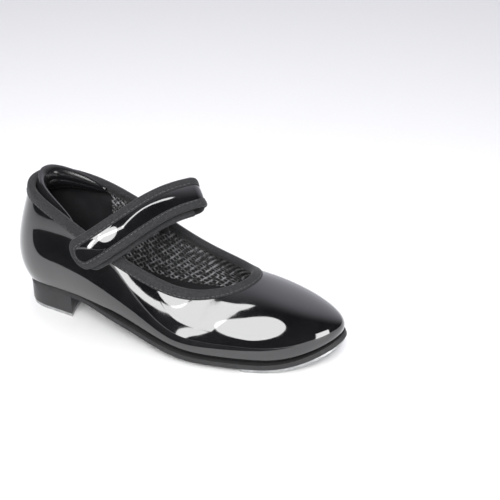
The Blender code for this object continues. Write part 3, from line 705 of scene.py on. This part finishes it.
def skin(name, grid, closed_u=False, closed_v=False, caps=False, outside=True):
    """Quad mesh over grid[u][v], with a UV map in metres along and across."""
    grid = np.asarray(grid, float)
    rows, columns = grid.shape[:2]
    wrapped = grid
    if closed_u:
        wrapped = np.concatenate((wrapped, wrapped[:1]), 0)
    if closed_v:
        wrapped = np.concatenate((wrapped, wrapped[:, :1]), 1)
    along = np.linalg.norm(np.diff(wrapped, axis=0), axis=2).mean(axis=1)
    run = np.concatenate(((0.0,), np.cumsum(along)))
    across = np.linalg.norm(np.diff(wrapped, axis=1), axis=2)
    reach = np.concatenate((np.zeros((len(wrapped), 1)), np.cumsum(across, axis=1)), 1)
    faces = []
    coords = []
    for i in range(rows - (not closed_u)):
        for j in range(columns - (not closed_v)):
            corners = ((i, j), (i + 1, j), (i + 1, j + 1), (i, j + 1))
            faces.append([(a % rows) * columns + b % columns for a, b in corners])
            coords.extend((run[a], reach[a, b]) for a, b in corners)
    if caps:
        faces.append(list(range(columns))[::-1])
        faces.append([(rows - 1) * columns + j for j in range(columns)])
        coords.extend([(0.0, 0.0)] * (2 * columns))
    mesh = bpy.data.meshes.new(name)
    mesh.from_pydata((grid.reshape(-1, 3) - ORIGIN).tolist(), [], faces)
    mesh.uv_layers.new(name="flat").data.foreach_set("uv", np.array(coords, np.float32).ravel())
    if outside:
        face_out(mesh)
    return mesh


def piece(name, mesh, material, body=SHOE, replaces=(), angle=35.0):
    mesh.materials.clear()
    mesh.materials.append(material)
    mesh.shade_smooth()
    mesh.set_sharp_from_angle(angle=math.radians(angle))
    obj = placed(name, mesh)
    if replaces:
        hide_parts(*replaces)
    if body:
        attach(obj, body)
    return obj


def stitches(name, line, normals, body, pitch=2.6 * MM, length=1.9 * MM, radius=0.2 * MM):
    """Row of sewn stitches along a line of points; each end dips into the cloth."""
    line = np.asarray(line, float)
    normals = np.asarray(normals, float)
    run = run_along(line)
    count = int(run[-1] / pitch)
    points = []
    faces = []
    for k in range(count):
        start = (k + 0.5) * run[-1] / count - length / 2
        places = start + length * np.array((0.0, 0.12, 0.5, 0.88, 1.0))
        at = np.stack([np.interp(places, run, line[:, c]) for c in range(3)], 1)
        up = unit(np.stack([np.interp(places, run, normals[:, c]) for c in range(3)], 1))
        at = at + up * (radius * np.array((-1.2, 0.2, 0.5, 0.2, -1.2)))[:, None]
        side = unit(np.cross(unit(at[-1] - at[0]), up))
        first = len(points)
        for ring, share in enumerate((0.5, 0.9, 1.0, 0.9, 0.5)):
            for step in range(6):
                turn = math.tau * step / 6
                points.append(at[ring] + radius * share * (math.cos(turn) * side[ring] * 1.15
                                                           + math.sin(turn) * up[ring]))
        for ring in range(4):
            for step in range(6):
                a, b = first + ring * 6 + step, first + ring * 6 + (step + 1) % 6
                faces.append((a, b, b + 6, a + 6))
        faces.append(tuple(first + step for step in range(5, -1, -1)))
        faces.append(tuple(first + 24 + step for step in range(6)))
    mesh = bpy.data.meshes.new(name)
    mesh.from_pydata((np.array(points) - ORIGIN).tolist(), [], faces)
    return piece(name, mesh, thread(), body, angle=80.0)


def sole_inset(u):
    forepart = smoothstep((station(u)[0] - 42 * MM) / (34 * MM))
    return -(HEEL_EDGE + (SOLE_EDGE - HEEL_EDGE) * forepart)


def edge_run(u_from, u_to, count, inset):
    places = [float(u) for u in np.linspace(u_from, u_to, count + 1)]
    return np.array([outline(u, inset(u) if callable(inset) else inset) for u in places])


def bowed(start, end, count, bow):
    t = np.linspace(0.0, 1.0, count + 1)[:, None]
    line = (1 - t) * start + t * end
    line[:, 0] += bow * 4 * t[:, 0] * (1 - t[:, 0])
    return line


PLATE_CORNER = 3 / SECTIONS


def plate(name, material, replaces, inset, lift, thickness, x_from=None, x_to=None, bow=0.0,
          level=None, across=26, along=110, edge=0.5 * MM):
    """Plate of the sole's outline with rounded edges, whole or cut off at x_from or x_to."""
    corner = PLATE_CORNER
    outer_from, inner_from, outer_to, inner_to = corner, 1 - corner, 0.5 - corner, 0.5 + corner
    if x_from is not None:
        outer_from, inner_from = u_at(x_from, False), u_at(x_from, True)
    if x_to is not None:
        outer_to, inner_to = u_at(x_to, False), u_at(x_to, True)
    outer = edge_run(outer_from, outer_to, along, inset)
    inner = edge_run(inner_from, inner_to, along, inset)
    rear = edge_run(outer_from, -corner, across, inset)
    front = edge_run(outer_to, inner_to, across, inset)
    if x_from is not None:
        rear = bowed(outer[0], inner[0], across, bow)
    if x_to is not None:
        front = bowed(outer[-1], inner[-1], across, bow)
    s = np.linspace(0.0, 1.0, along + 1)[:, None, None]
    t = np.linspace(0.0, 1.0, across + 1)[None, :, None]
    grid = ((1 - t) * outer[:, None] + t * inner[:, None] + (1 - s) * rear[None] + s * front[None]
            - (1 - s) * (1 - t) * rear[0] - (1 - s) * t * rear[-1]
            - s * (1 - t) * front[0] - s * t * front[-1])
    grid[..., 2] = underside(grid[..., 0]) + lift if level is None else level
    mesh = skin(name, grid, outside=False)
    if mesh.polygons[0].normal.z < 0:
        mesh.flip_normals()
    obj = piece(name, mesh, material, None, replaces)
    solid = obj.modifiers.new("thickness", "SOLIDIFY")
    solid.thickness = thickness
    solid.offset = 1.0
    bevel = obj.modifiers.new("edge", "BEVEL")
    bevel.width = edge
    bevel.segments = 3
    bevel.limit_method = "ANGLE"
    bevel.angle_limit = math.radians(50)
    return obj


def settle(obj):
    """Apply the modifiers, then let the piece ride on the shoe."""
    graph = bpy.context.evaluated_depsgraph_get()
    mesh = bpy.data.meshes.new_from_object(obj.evaluated_get(graph))
    obj.modifiers.clear()
    obj.data = mesh
    mesh.shade_smooth()
    mesh.set_sharp_from_angle(angle=math.radians(35.0))
    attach(obj, SHOE)


def turned(name, profile, material, x, y, z, tilt=0.0, steps=40):
    """Turned mesh from (radius, height) in mm, on an upright axis at x, y."""
    angles = np.linspace(0.0, math.tau, steps, endpoint=False)
    profile = np.array(profile) * MM
    ring = np.stack((np.cos(angles), np.sin(angles), np.zeros(steps)), 1)
    grid = ring[:, None] * profile[None, :, :1] + profile[None, :, 1:] * UP
    lean = np.array(((math.cos(tilt), 0, -math.sin(tilt)), (0, 1, 0), (math.sin(tilt), 0, math.cos(tilt))))
    grid = grid @ lean.T + np.array((x, y, z))
    mesh = skin(name, grid, closed_u=True, outside=False)
    face_out(mesh, weld=1e-6)
    if material:
        mesh.materials.append(material)
    return mesh


def cut(obj, mesh):
    """Take mesh out of obj now."""
    tool = placed("tool", mesh)
    boolean = obj.modifiers.new("cut", "BOOLEAN")
    boolean.solver = "EXACT"
    boolean.object = tool
    graph = bpy.context.evaluated_depsgraph_get()
    obj.data = bpy.data.meshes.new_from_object(obj.evaluated_get(graph))
    obj.modifiers.clear()
    bpy.data.objects.remove(tool, do_unlink=True)


# --- the upper ---
def make_skin():
    """Patent skin: turned in under the foot, up the wall and ending under the binding."""
    sections = []
    for u in np.linspace(0.0, 1.0, 320, endpoint=False):
        u = float(u)
        length = wall_table(u)[2][0]
        down = length * (1 - np.linspace(0.0, 1.0, 64) ** 1.25)
        back = np.concatenate((np.linspace(0.0, 14 * MM, 10), np.linspace(16 * MM, length - 3.5 * MM, 12)))
        section = [outline(u, MARGIN, MARGIN_LIFT), outline(u, 4.0 * MM, MARGIN_LIFT),
                   outline(u, 1.2 * MM, MARGIN_LIFT), outline(u, 0.35 * MM, MARGIN_LIFT + 0.35 * MM)]
        section += list(wall(u, down, 0.0))
        section += list(wall(u, back, SHELL))
        section += [outline(u, 2.2 * MM, MARGIN_LIFT + SHELL), outline(u, MARGIN, MARGIN_LIFT + SHELL)]
        sections.append(section)
    mesh = skin("patent_skin", sections, closed_u=True, closed_v=True)
    piece("patent_skin", mesh, patent(), replaces=("upper_shell",), angle=60.0)


def lining_offset(depth):
    behind = STIFFENER + LAYER_GAP
    return SHELL + LAYER_GAP + behind * smoothstep((depth - BINDING_LEG) / (7 * MM))


def lining_low(u):
    return wall_table(u)[2][0] - (INSOCK_LIFT - FEATHER_LIFT) - 0.2 * MM


def sheet(name, material, node, first, last, sections, rows, offset, thickness, span=None,
          relief=None):
    """Closed sheet inside the wall, between two sections of those round the shoe."""
    grid = []
    run = 0.0
    before = None
    for u in np.linspace(first / SECTIONS, last / SECTIONS, sections):
        u = float(u)
        low, high = (lining_low(u), GAP) if span is None else span(u)
        depths = np.linspace(low, high, rows)
        near = wall(u, depths, offset(depths))
        thick = np.full(rows, thickness)
        if relief is not None:
            middle = near[rows // 2]
            run += 0.0 if before is None else float(np.linalg.norm(middle - before))
            before = middle
            thick = thick + relief(run, run_along(near))
        far = wall(u, depths, offset(depths) + thick)
        grid.append(np.concatenate((far, near[::-1])))
    mesh = skin(name, grid, closed_v=True, caps=True)
    return piece(name, mesh, material, replaces=(node,), angle=50.0)


def stiffener(depth):
    return np.full(np.shape(depth), SHELL + LAYER_GAP)


STIFFENER_TOP = 13 * MM
STIFFENER_SHARE = 0.62
PUFF_SHARE = 0.4
KNIT_RELIEF = 0.22 * MM


def make_linings():
    def counter_span(u):
        low = lining_low(u)
        return low, min(STIFFENER_TOP, STIFFENER_SHARE * low)

    def puff_span(u):
        low, high = counter_span(u)
        return low, low - PUFF_SHARE * (low - high)

    sheet("counter", fibre_board(), "heel_counter", -8, 8, 64, 24, stiffener,
          STIFFENER, counter_span)
    sheet("puff", fibre_board(), "toe_puff", 20, 28, 48, 14, stiffener,
          STIFFENER, puff_span)
    sheet("back_lining", smooth_lining(), "quarter_lining", -6.98, 8.98, 120, 40,
          lining_offset, LINING)

    def knit(run, reach):
        one, two = run / KNIT_LONG, reach / KNIT_WIDE
        near = [np.abs((way + 0.5) % 1.0 - 0.5) for way in (one + two, one - two)]
        return -KNIT_RELIEF * smoothstep((np.minimum(*near) - 0.05) / 0.2)

    sheet("front_lining", mesh_lining(), "vamp_lining", 9, 41, 520, 104, lining_offset,
          LINING, relief=knit)


TAPE = ((4.9, -0.05), (4.85, -0.45), (4.6, -0.72), (4.1, -0.66), (3.6, -0.80), (2.4, -1.02), (1.0, -1.16),
        (-0.3, -0.95), (-1.0, -0.2), (-1.35, 1.0), (-1.1, 2.2), (-0.4, 3.15), (1.0, 3.5), (2.4, 3.45),
        (3.6, 3.3), (4.1, 3.15), (4.6, 3.2), (4.85, 3.0), (4.9, 2.62), (3.0, 2.75), (0.6, 2.75), (-0.35, 2.2),
        (-0.6, 1.0), (-0.35, 0.0), (0.6, -0.3), (3.0, -0.35))
STITCH_DEPTH = 4.05 * MM
STITCH_PITCH = 2.6 * MM


def make_topline_tape():
    """Woven tape folded over the topline, drawn in a little at each stitch."""
    profile = smooth_ring(TAPE, 52) * MM
    places, length = topline_places(0.55 * MM)
    count = int(length / STITCH_PITCH)
    grid = []
    for index, u in enumerate(places[:-1]):
        beat = math.cos(math.tau * count * index / (len(places) - 1))
        depth, inward = profile[:, 0].copy(), profile[:, 1].copy()
        near = np.exp(-((depth - STITCH_DEPTH) / (0.9 * MM)) ** 2)
        side = np.where(inward < 1.2 * MM, 1.0, -1.0)
        inward += side * near * 0.07 * MM * beat
        grid.append(wall(u, depth, inward))
    mesh = skin("topline_tape", grid, closed_u=True, closed_v=True)
    piece("topline_tape", mesh, grosgrain(), replaces=("topline_binding",), angle=70.0)
    for name, inward, out in (("topline_stitches_outer", -0.70 * MM, 1.0),
                              ("topline_stitches_inner", 3.2 * MM, -1.0)):
        line = np.array([wall(u, STITCH_DEPTH, inward)[0] for u in places])
        away = np.array([wall(u, STITCH_DEPTH, inward - out * MM)[0] for u in places]) - line
        stitches(name, line, away, SHOE, STITCH_PITCH)


COLLAR_SKIN = 0.8 * MM
COLLAR_FOLDS = ((62.0, 6.0), (104.0, 7.0))


def collar_ring(u, angles, grow):
    """Padded roll round the heel with two sewn folds; it fades out towards its ends."""
    fade = math.sqrt(max(1 - (u / COLLAR_END) ** 2, 0.05))
    folds = sum(np.exp(-((angles - math.radians(at)) / math.radians(wide)) ** 2)
                for at, wide in COLLAR_FOLDS)
    ripple = 0.07 * MM * math.sin(u * 90.0) * np.sin(2 * angles)
    radius = grow - 0.55 * MM * folds * fade + ripple * fade
    depth = 2.4 * MM + (9.4 * MM * fade + radius) * np.cos(angles)
    inward = COLLAR_SIDE + 0.2 * MM + (5.6 * MM * fade + radius) * np.sin(angles)
    return wall(u, depth, np.maximum(inward, COLLAR_SIDE - 0.25 * MM - grow))


def make_collar():
    angles = np.radians(np.linspace(-12, 262, 86))
    cover = []
    core = []
    for u in np.linspace(-COLLAR_END, COLLAR_END, 150):
        u = float(u)
        inner = collar_ring(u, angles[::-1], -COLLAR_SKIN)
        cover.append(np.concatenate((collar_ring(u, angles, 0.0), inner)))
    for u in np.linspace(-COLLAR_CORE_END, COLLAR_CORE_END, 60):
        core.append(collar_ring(float(u), angles[4:-4], -COLLAR_SKIN - 0.35 * MM))
    mesh = skin("collar_roll", cover, closed_v=True, caps=True)
    roll = piece("collar_roll", mesh, collar_skin(), replaces=("collar_cover",), angle=60.0)
    mesh = skin("collar_core", core, closed_v=True, caps=True)
    core = piece("collar_core", mesh, foam(), replaces=("collar_foam",), angle=60.0)


# --- the strap ---
@cache
def strap_frame(s):
    point = curve_point(STRAP_LINE, STRAP_BENDS, s, False)
    step = (curve_point(STRAP_LINE, STRAP_BENDS, s + 0.01, False)
            - curve_point(STRAP_LINE, STRAP_BENDS, s - 0.01, False))
    along = unit(step)
    across = curve_point(STRAP_ACROSS, ACROSS_BENDS, s, False)
    across = unit(across - along * across.dot(along))
    return point, along, across, np.cross(across, along)


@cache
def strap_length():
    points = np.array([strap_frame(float(s))[0] for s in np.linspace(0.0, 1.0, 200)])
    return float(run_along(points)[-1])


def strap_points(s, side, lift):
    point, _, across, up = strap_frame(s)
    return point + across * np.atleast_1d(side)[:, None] + up * np.atleast_1d(lift)[:, None]


def field_profile(half, crown):
    """Closed section of the patent field: sides and heights, crowned between the bindings."""
    side = np.linspace(-1.0, 1.0, 25) * half
    free = STRAP_WIDTH / 2 - FIELD_EDGE
    top = STRAP_CORE / 2 + crown * np.clip(1 - (side / free) ** 2, 0.0, 1.0) ** 0.8
    return np.concatenate((side, side[::-1])), np.concatenate((top, np.full(25, -STRAP_CORE / 2)))


def round_half(s, start, edge):
    radius = STRAP_WIDTH / 2 - edge
    reach = (s - start) * strap_length() - edge
    if reach >= radius:
        return radius
    return math.sqrt(max(radius ** 2 - (radius - max(reach, 0.0)) ** 2, (0.05 * radius) ** 2))


def strap_field(name, start, finish, lift, shift, body, node):
    tip = start + (FIELD_INSET + 0.1 * MM) / strap_length()
    turn = start + STRAP_WIDTH / 2 / strap_length()
    places = list(tip + (turn - tip) * (1 - np.cos(np.linspace(0, math.pi / 2, 16)))[:-1])
    places += list(np.linspace(turn, finish, 90))
    grid = []
    for s in places:
        s = float(s)
        half = round_half(s, start, FIELD_INSET)
        side, height = field_profile(half, FIELD_CROWN)
        grid.append(strap_points(s, side + shift, height + lift))
    mesh = skin(name, grid, closed_v=True, caps=True)
    return piece(name, mesh, patent(), body, (node,), angle=60.0)


U_TAPE = ((4.6, 0.66), (4.6, 1.05), (4.4, 1.24), (3.9, 1.22), (3.4, 1.32), (2.2, 1.48), (1.1, 1.40),
          (0.3, 1.05), (0.0, 0.4), (0.0, -0.4), (0.3, -1.05), (1.1, -1.40), (2.2, -1.48), (3.4, -1.32),
          (3.9, -1.22), (4.4, -1.24), (4.6, -1.05), (4.6, -0.66), (3.0, -0.66), (1.0, -0.64), (0.8, -0.3),
          (0.8, 0.3), (1.0, 0.64), (3.0, 0.66))
SEAM = 3.8 * MM


def rim_frame(start, finish, turn):
    """Place on a strap layer's edge line; turn runs 0 to 1 round the edge and its end."""
    radius = STRAP_WIDTH / 2
    run = (finish - start) * strap_length() - radius
    total = 2 * run + math.pi * radius
    at = turn * total
    if at < run:
        return finish - at / strap_length(), -1.0, 0.0
    if at > total - run:
        return finish - (total - at) / strap_length(), 1.0, 0.0
    angle = (at - run) / radius
    return start + radius / strap_length(), -math.cos(angle), -math.sin(angle)


def rim_point(start, finish, turn, depth, height, lift, shift):
    s, side, back = rim_frame(start, finish, turn)
    reach = STRAP_WIDTH / 2 - depth
    return strap_points(s + back * reach / strap_length(), side * reach + shift, lift + height)[0]


def strap_tape(name, start, finish, lift, shift, body, node):
    """Tape round a strap layer's edge, drawn in at the stitches of its seam."""
    profile = smooth_ring(U_TAPE, 44) * MM
    radius = STRAP_WIDTH / 2
    total = 2 * ((finish - start) * strap_length() - radius) + math.pi * radius
    beats = int(total / STITCH_PITCH)
    grid = []
    for turn in np.linspace(0.0, 1.0, 340):
        beat = math.cos(math.tau * beats * turn)
        ring = []
        for depth, height in profile:
            pull = 0.07 * MM * beat * math.exp(-((depth - SEAM) / (0.8 * MM)) ** 2)
            pulled = height - math.copysign(pull, height)
            ring.append(rim_point(start, finish, turn, depth, pulled, lift, shift))
        grid.append(ring)
    mesh = skin(name, grid, closed_v=True, caps=True)
    piece(name, mesh, grosgrain(), body, (node,), angle=70.0)
    for label, height in (("_stitches", 1.24 * MM), ("_stitches_under", -1.24 * MM)):
        turns = np.linspace(0.004, 0.996, 260)
        line = np.array([rim_point(start, finish, t, SEAM, height, lift, shift) for t in turns])
        away = np.array([rim_point(start, finish, t, SEAM, height * 2, lift, shift) for t in turns]) - line
        stitches(name + label, line, away, body, STITCH_PITCH)


def bend_frame():
    point, along, across, up = strap_frame(1.0)
    return point + up * (STRAP_PITCH - BEND_RADIUS) + along * GAP, along, across, up


def bend_samples():
    """Centre line of the bend: point, across and outward, from the flap to the root."""
    centre, along, across, up = bend_frame()
    samples = []
    for degrees in np.linspace(-3.0, BEND_ANGLE + 2.0, 60):
        angle = math.radians(float(degrees))
        ray = up * math.cos(angle) + along * math.sin(angle)
        share = min(max(degrees / BEND_ANGLE, 0.0), 1.0)
        width = STRAP_WIDTH - (STRAP_WIDTH - ROOT_WIDTH) * share
        samples.append((centre + ray * BEND_RADIUS, across, ray, width))
    return samples


def root_samples():
    centre, along, across, up = bend_frame()
    angle = math.radians(BEND_ANGLE)
    down = -up * math.sin(angle) + along * math.cos(angle)
    ray = up * math.cos(angle) + along * math.sin(angle)
    top = centre + ray * BEND_RADIUS + down * GAP
    inside = BINDING_INNER + BINDING_WALL + ROOT_CLEAR
    wall_way = unit(wall(ROOT_U - 0.01, 0.0, 0.0)[0] - wall(ROOT_U + 0.01, 0.0, 0.0)[0])
    ends = [wall(ROOT_U, depth * MM, inside)[0] for depth in (-7.0, 2.0, 9.0)]
    line = np.array([top - down * 4 * MM, top, top + down * 7 * MM] + ends)
    curve = bends(line, False)
    samples = []
    for s in np.linspace(0.2, 1.0, 60):
        s = float(s)
        ahead = unit(curve_point(line, curve, s + 0.01, False) - curve_point(line, curve, s - 0.01, False))
        share = float(smoothstep((s - 0.25) / 0.5))
        way = across * (1 - share) + wall_way * share
        way = unit(way - ahead * way.dot(ahead))
        samples.append((curve_point(line, curve, s, False), way, np.cross(way, ahead), ROOT_WIDTH))
    return samples


def swept(samples, side_of, height_of):
    grid = []
    for point, way, face, width in samples:
        side, height = side_of(width), height_of(width)
        grid.append(point + way * side[:, None] + face * height[:, None])
    return grid


def make_strap_end(name, samples, node, body):
    """Patent field and two bound edges along a run of samples."""
    made = []
    grid = swept(samples, lambda width: field_profile(width / 2 - FIELD_INSET, 0.0)[0],
                 lambda width: field_profile(width / 2 - FIELD_INSET, 0.5 * MM)[1])
    mesh = skin(name + "_field", grid, closed_v=True, caps=True)
    made.append(piece(name + "_field", mesh, patent(), body, (node,), angle=60.0))
    profile = smooth_ring(U_TAPE, 36) * MM
    for label, way in (("_edge_heel", -1.0), ("_edge_toe", 1.0)):
        grid = swept(samples, lambda width: way * (width / 2 - profile[:, 0]), lambda width: profile[:, 1])
        mesh = skin(name + label, grid, closed_v=True, caps=True)
        made.append(piece(name + label, mesh, grosgrain(), body, angle=70.0))
    return made


def make_strap():
    glossy = [strap_field("strap_lower", TAB_START, TAB_FINISH, 0.0, TAB_SHIFT, SHOE, "strap_tab"),
              strap_field("strap_top", FLAP_START, 1.0, STRAP_PITCH, 0.0, FLAP, "strap_flap")]
    strap_tape("strap_lower_tape", TAB_START, TAB_FINISH, 0.0, TAB_SHIFT, SHOE, "strap_tab_binding")
    strap_tape("strap_top_tape", FLAP_START, 1.0, STRAP_PITCH, 0.0, FLAP, "strap_flap_binding")
    samples = bend_samples()
    for obj in make_strap_end("strap_turn", samples, "strap_bend", None):
        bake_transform(obj)
    make_strap_end("strap_inner_end", root_samples(), "strap_root", SHOE)
    for row in STRAP_BOXES:
        only_on(softbox(*row), "strap_gloss", glossy)


def make_tapes():
    """Loop tape and hook tape between the two layers of the strap."""
    half = STRAP_WIDTH / 2 - STRAP_LEG - 0.5 * MM
    low = STRAP_CORE / 2 + GAP
    high = STRAP_PITCH - STRAP_CORE / 2 - GAP
    middle = (low + high) / 2
    rows = (("loop_pile", low, middle - 0.1 * MM, 0.26, 0.68, TAB_SHIFT, SHOE, "loop_tape", 1.0),
            ("hook_strip", middle + 0.1 * MM, high, 0.24, 0.58, 0.0, FLAP, "hook_tape", -1.0))
    rng = random.Random(7)
    for name, bottom, top, start, finish, shift, body, node, way in rows:
        grid = []
        for s in np.linspace(start, finish, 120):
            side = np.linspace(-half, half, 33)
            rough = np.array([rng.uniform(0.0, 0.22) * MM for _ in side])
            rough[[0, -1]] = 0.0
            upper = top - (rough if way > 0 else 0.0)
            lower = bottom + (rough if way < 0 else 0.0)
            sides = np.concatenate((side, side[::-1])) + shift
            heights = np.concatenate((np.broadcast_to(upper, 33), np.broadcast_to(lower, 33)[::-1]))
            grid.append(strap_points(float(s), sides, heights))
        mesh = skin(name, grid, closed_v=True, caps=True)
        piece(name, mesh, hook_loop(), body, (node,), angle=50.0)


# --- sole, heel and metal ---
def make_sole():
    settle(plate("sole", sole_stock(), ("outsole",), sole_inset, 0.0, OUTSOLE, edge=0.7 * MM))
    settle(plate("foot_bed", smooth_lining(), ("insock",), INSOCK_INSET, INSOCK_LIFT, INSOCK,
                 edge=0.9 * MM))
    top = HEEL_SEAT - 0.05 * MM
    bottom = TAP_THICKNESS + 0.1 * MM
    settle(plate("heel", heel_stock(), ("heel_block",), HEEL_INSET, 0.0, top - bottom,
                 x_to=HEEL_LENGTH, bow=HEEL_BOW, level=bottom, along=60, edge=0.45 * MM))


SCREW = ((0.0, 9.0), (0.7, 8.2), (1.2, 7.0), (1.2, 1.8), (2.6, 0.5), (2.75, 0.4), (2.7, 0.26), (2.3, 0.16),
         (1.2, 0.1), (0.0, 0.08))
RIVET = ((0.0, 4.2), (1.3, 4.2), (1.4, 2.0), (3.9, 1.0), (4.0, 0.7), (3.9, 0.45), (3.6, 0.3), (3.2, 0.3),
         (2.8, 0.5), (2.2, 1.1), (1.6, 1.25), (1.2, 1.6), (0.9, 2.6), (0.0, 2.7))


SCREW_SEAT = ((0.0, 3.0), (1.6, 3.0), (1.6, 1.8), (3.1, 0.45), (3.1, -1.0), (0.0, -1.0))
RIVET_SEAT = ((0.0, 4.6), (1.7, 4.6), (1.7, 1.9), (4.2, 1.0), (4.2, -1.0), (0.0, -1.0))


def slot_box(x, y, turn):
    """One arm of a screw's cross recess, to be cut out."""
    bm = bmesh.new()
    bmesh.ops.create_cube(bm, size=1.0)
    bmesh.ops.scale(bm, vec=(3.2 * MM, 0.7 * MM, 2.0 * MM), verts=bm.verts)
    bmesh.ops.rotate(bm, matrix=Matrix.Rotation(turn, 3, "Z"), verts=bm.verts)
    bmesh.ops.translate(bm, vec=Vector(np.array((x, y, 0.0)) - ORIGIN), verts=bm.verts)
    mesh = bpy.data.meshes.new("slot")
    bm.to_mesh(mesh)
    bm.free()
    return mesh


def toe_tap_inset(u):
    short = min(max(1 - (station(u)[0] - TOE_TAP_START) / TOE_TAP_CORNER, 0.0), 1.0)
    return TOE_TAP_INSET + TOE_TAP_CORNER * (1 - math.sqrt(1 - short ** 2))


def set_in(holder, name, profile, seat, x, y, z=0.0, tilt=0.0):
    """Fastener in its own hole through a plate; its node's name starts as the plate's does."""
    cut(holder, turned("hole", seat, None, x, y, z, tilt))
    mesh = turned(name, profile, bright_steel(), x, y, z, tilt)
    return piece(name, mesh, bright_steel(), SHOE, (name.replace("_", "_tap_", 1),))


def make_heel_tap():
    holder = plate("heel_plate", tap_alloy(), ("heel_tap",), HEEL_TAP_INSET, 0.0, TAP_THICKNESS,
                   x_to=HEEL_LENGTH, bow=HEEL_BOW, level=0.0, along=60, edge=0.4 * MM)
    settle(holder)
    for index, (x, y) in enumerate(HEEL_SCREWS, 1):
        x, y = x * MM, y * MM
        screw = set_in(holder, f"heel_screw_{index}", SCREW, SCREW_SEAT, x, y)
        for turn in (0.6 + index, 0.6 + index + math.pi / 2):
            cut(screw, slot_box(x, y, turn))


def make_toe_tap():
    holder = plate("toe_plate", tap_alloy(), ("toe_tap",), toe_tap_inset, -SOLE_FLAT,
                   TAP_THICKNESS, x_from=TOE_TAP_START, bow=TOE_TAP_BOW, along=80, edge=0.5 * MM)
    settle(holder)
    for index, (x, y) in enumerate(TOE_RIVETS, 1):
        x, y = x * MM, y * MM
        tilt = math.atan((underside(x + MM) - underside(x - MM)) / (2 * MM))
        z = float(underside(x)) - SOLE_FLAT
        set_in(holder, f"toe_rivet_{index}", RIVET, RIVET_SEAT, x, y, z, tilt)


def dress_hidden():
    """Materials of the CAD pieces that stay as they are, inside the sole."""
    looks = {"insole_board": fibre_board(), "forepart_filler": foam(), "shank": dull_steel()}
    looks.update({f"heel_nail_{index}": dull_steel() for index in range(1, 5)})
    for node, material in looks.items():
        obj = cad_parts[node]
        obj.data.materials.clear()
        obj.data.materials.append(material)


make_camera()
make_stage()
make_skin()
make_linings()
make_topline_tape()
make_collar()
make_strap()
make_tapes()
make_sole()
make_heel_tap()
make_toe_tap()
dress_hidden()
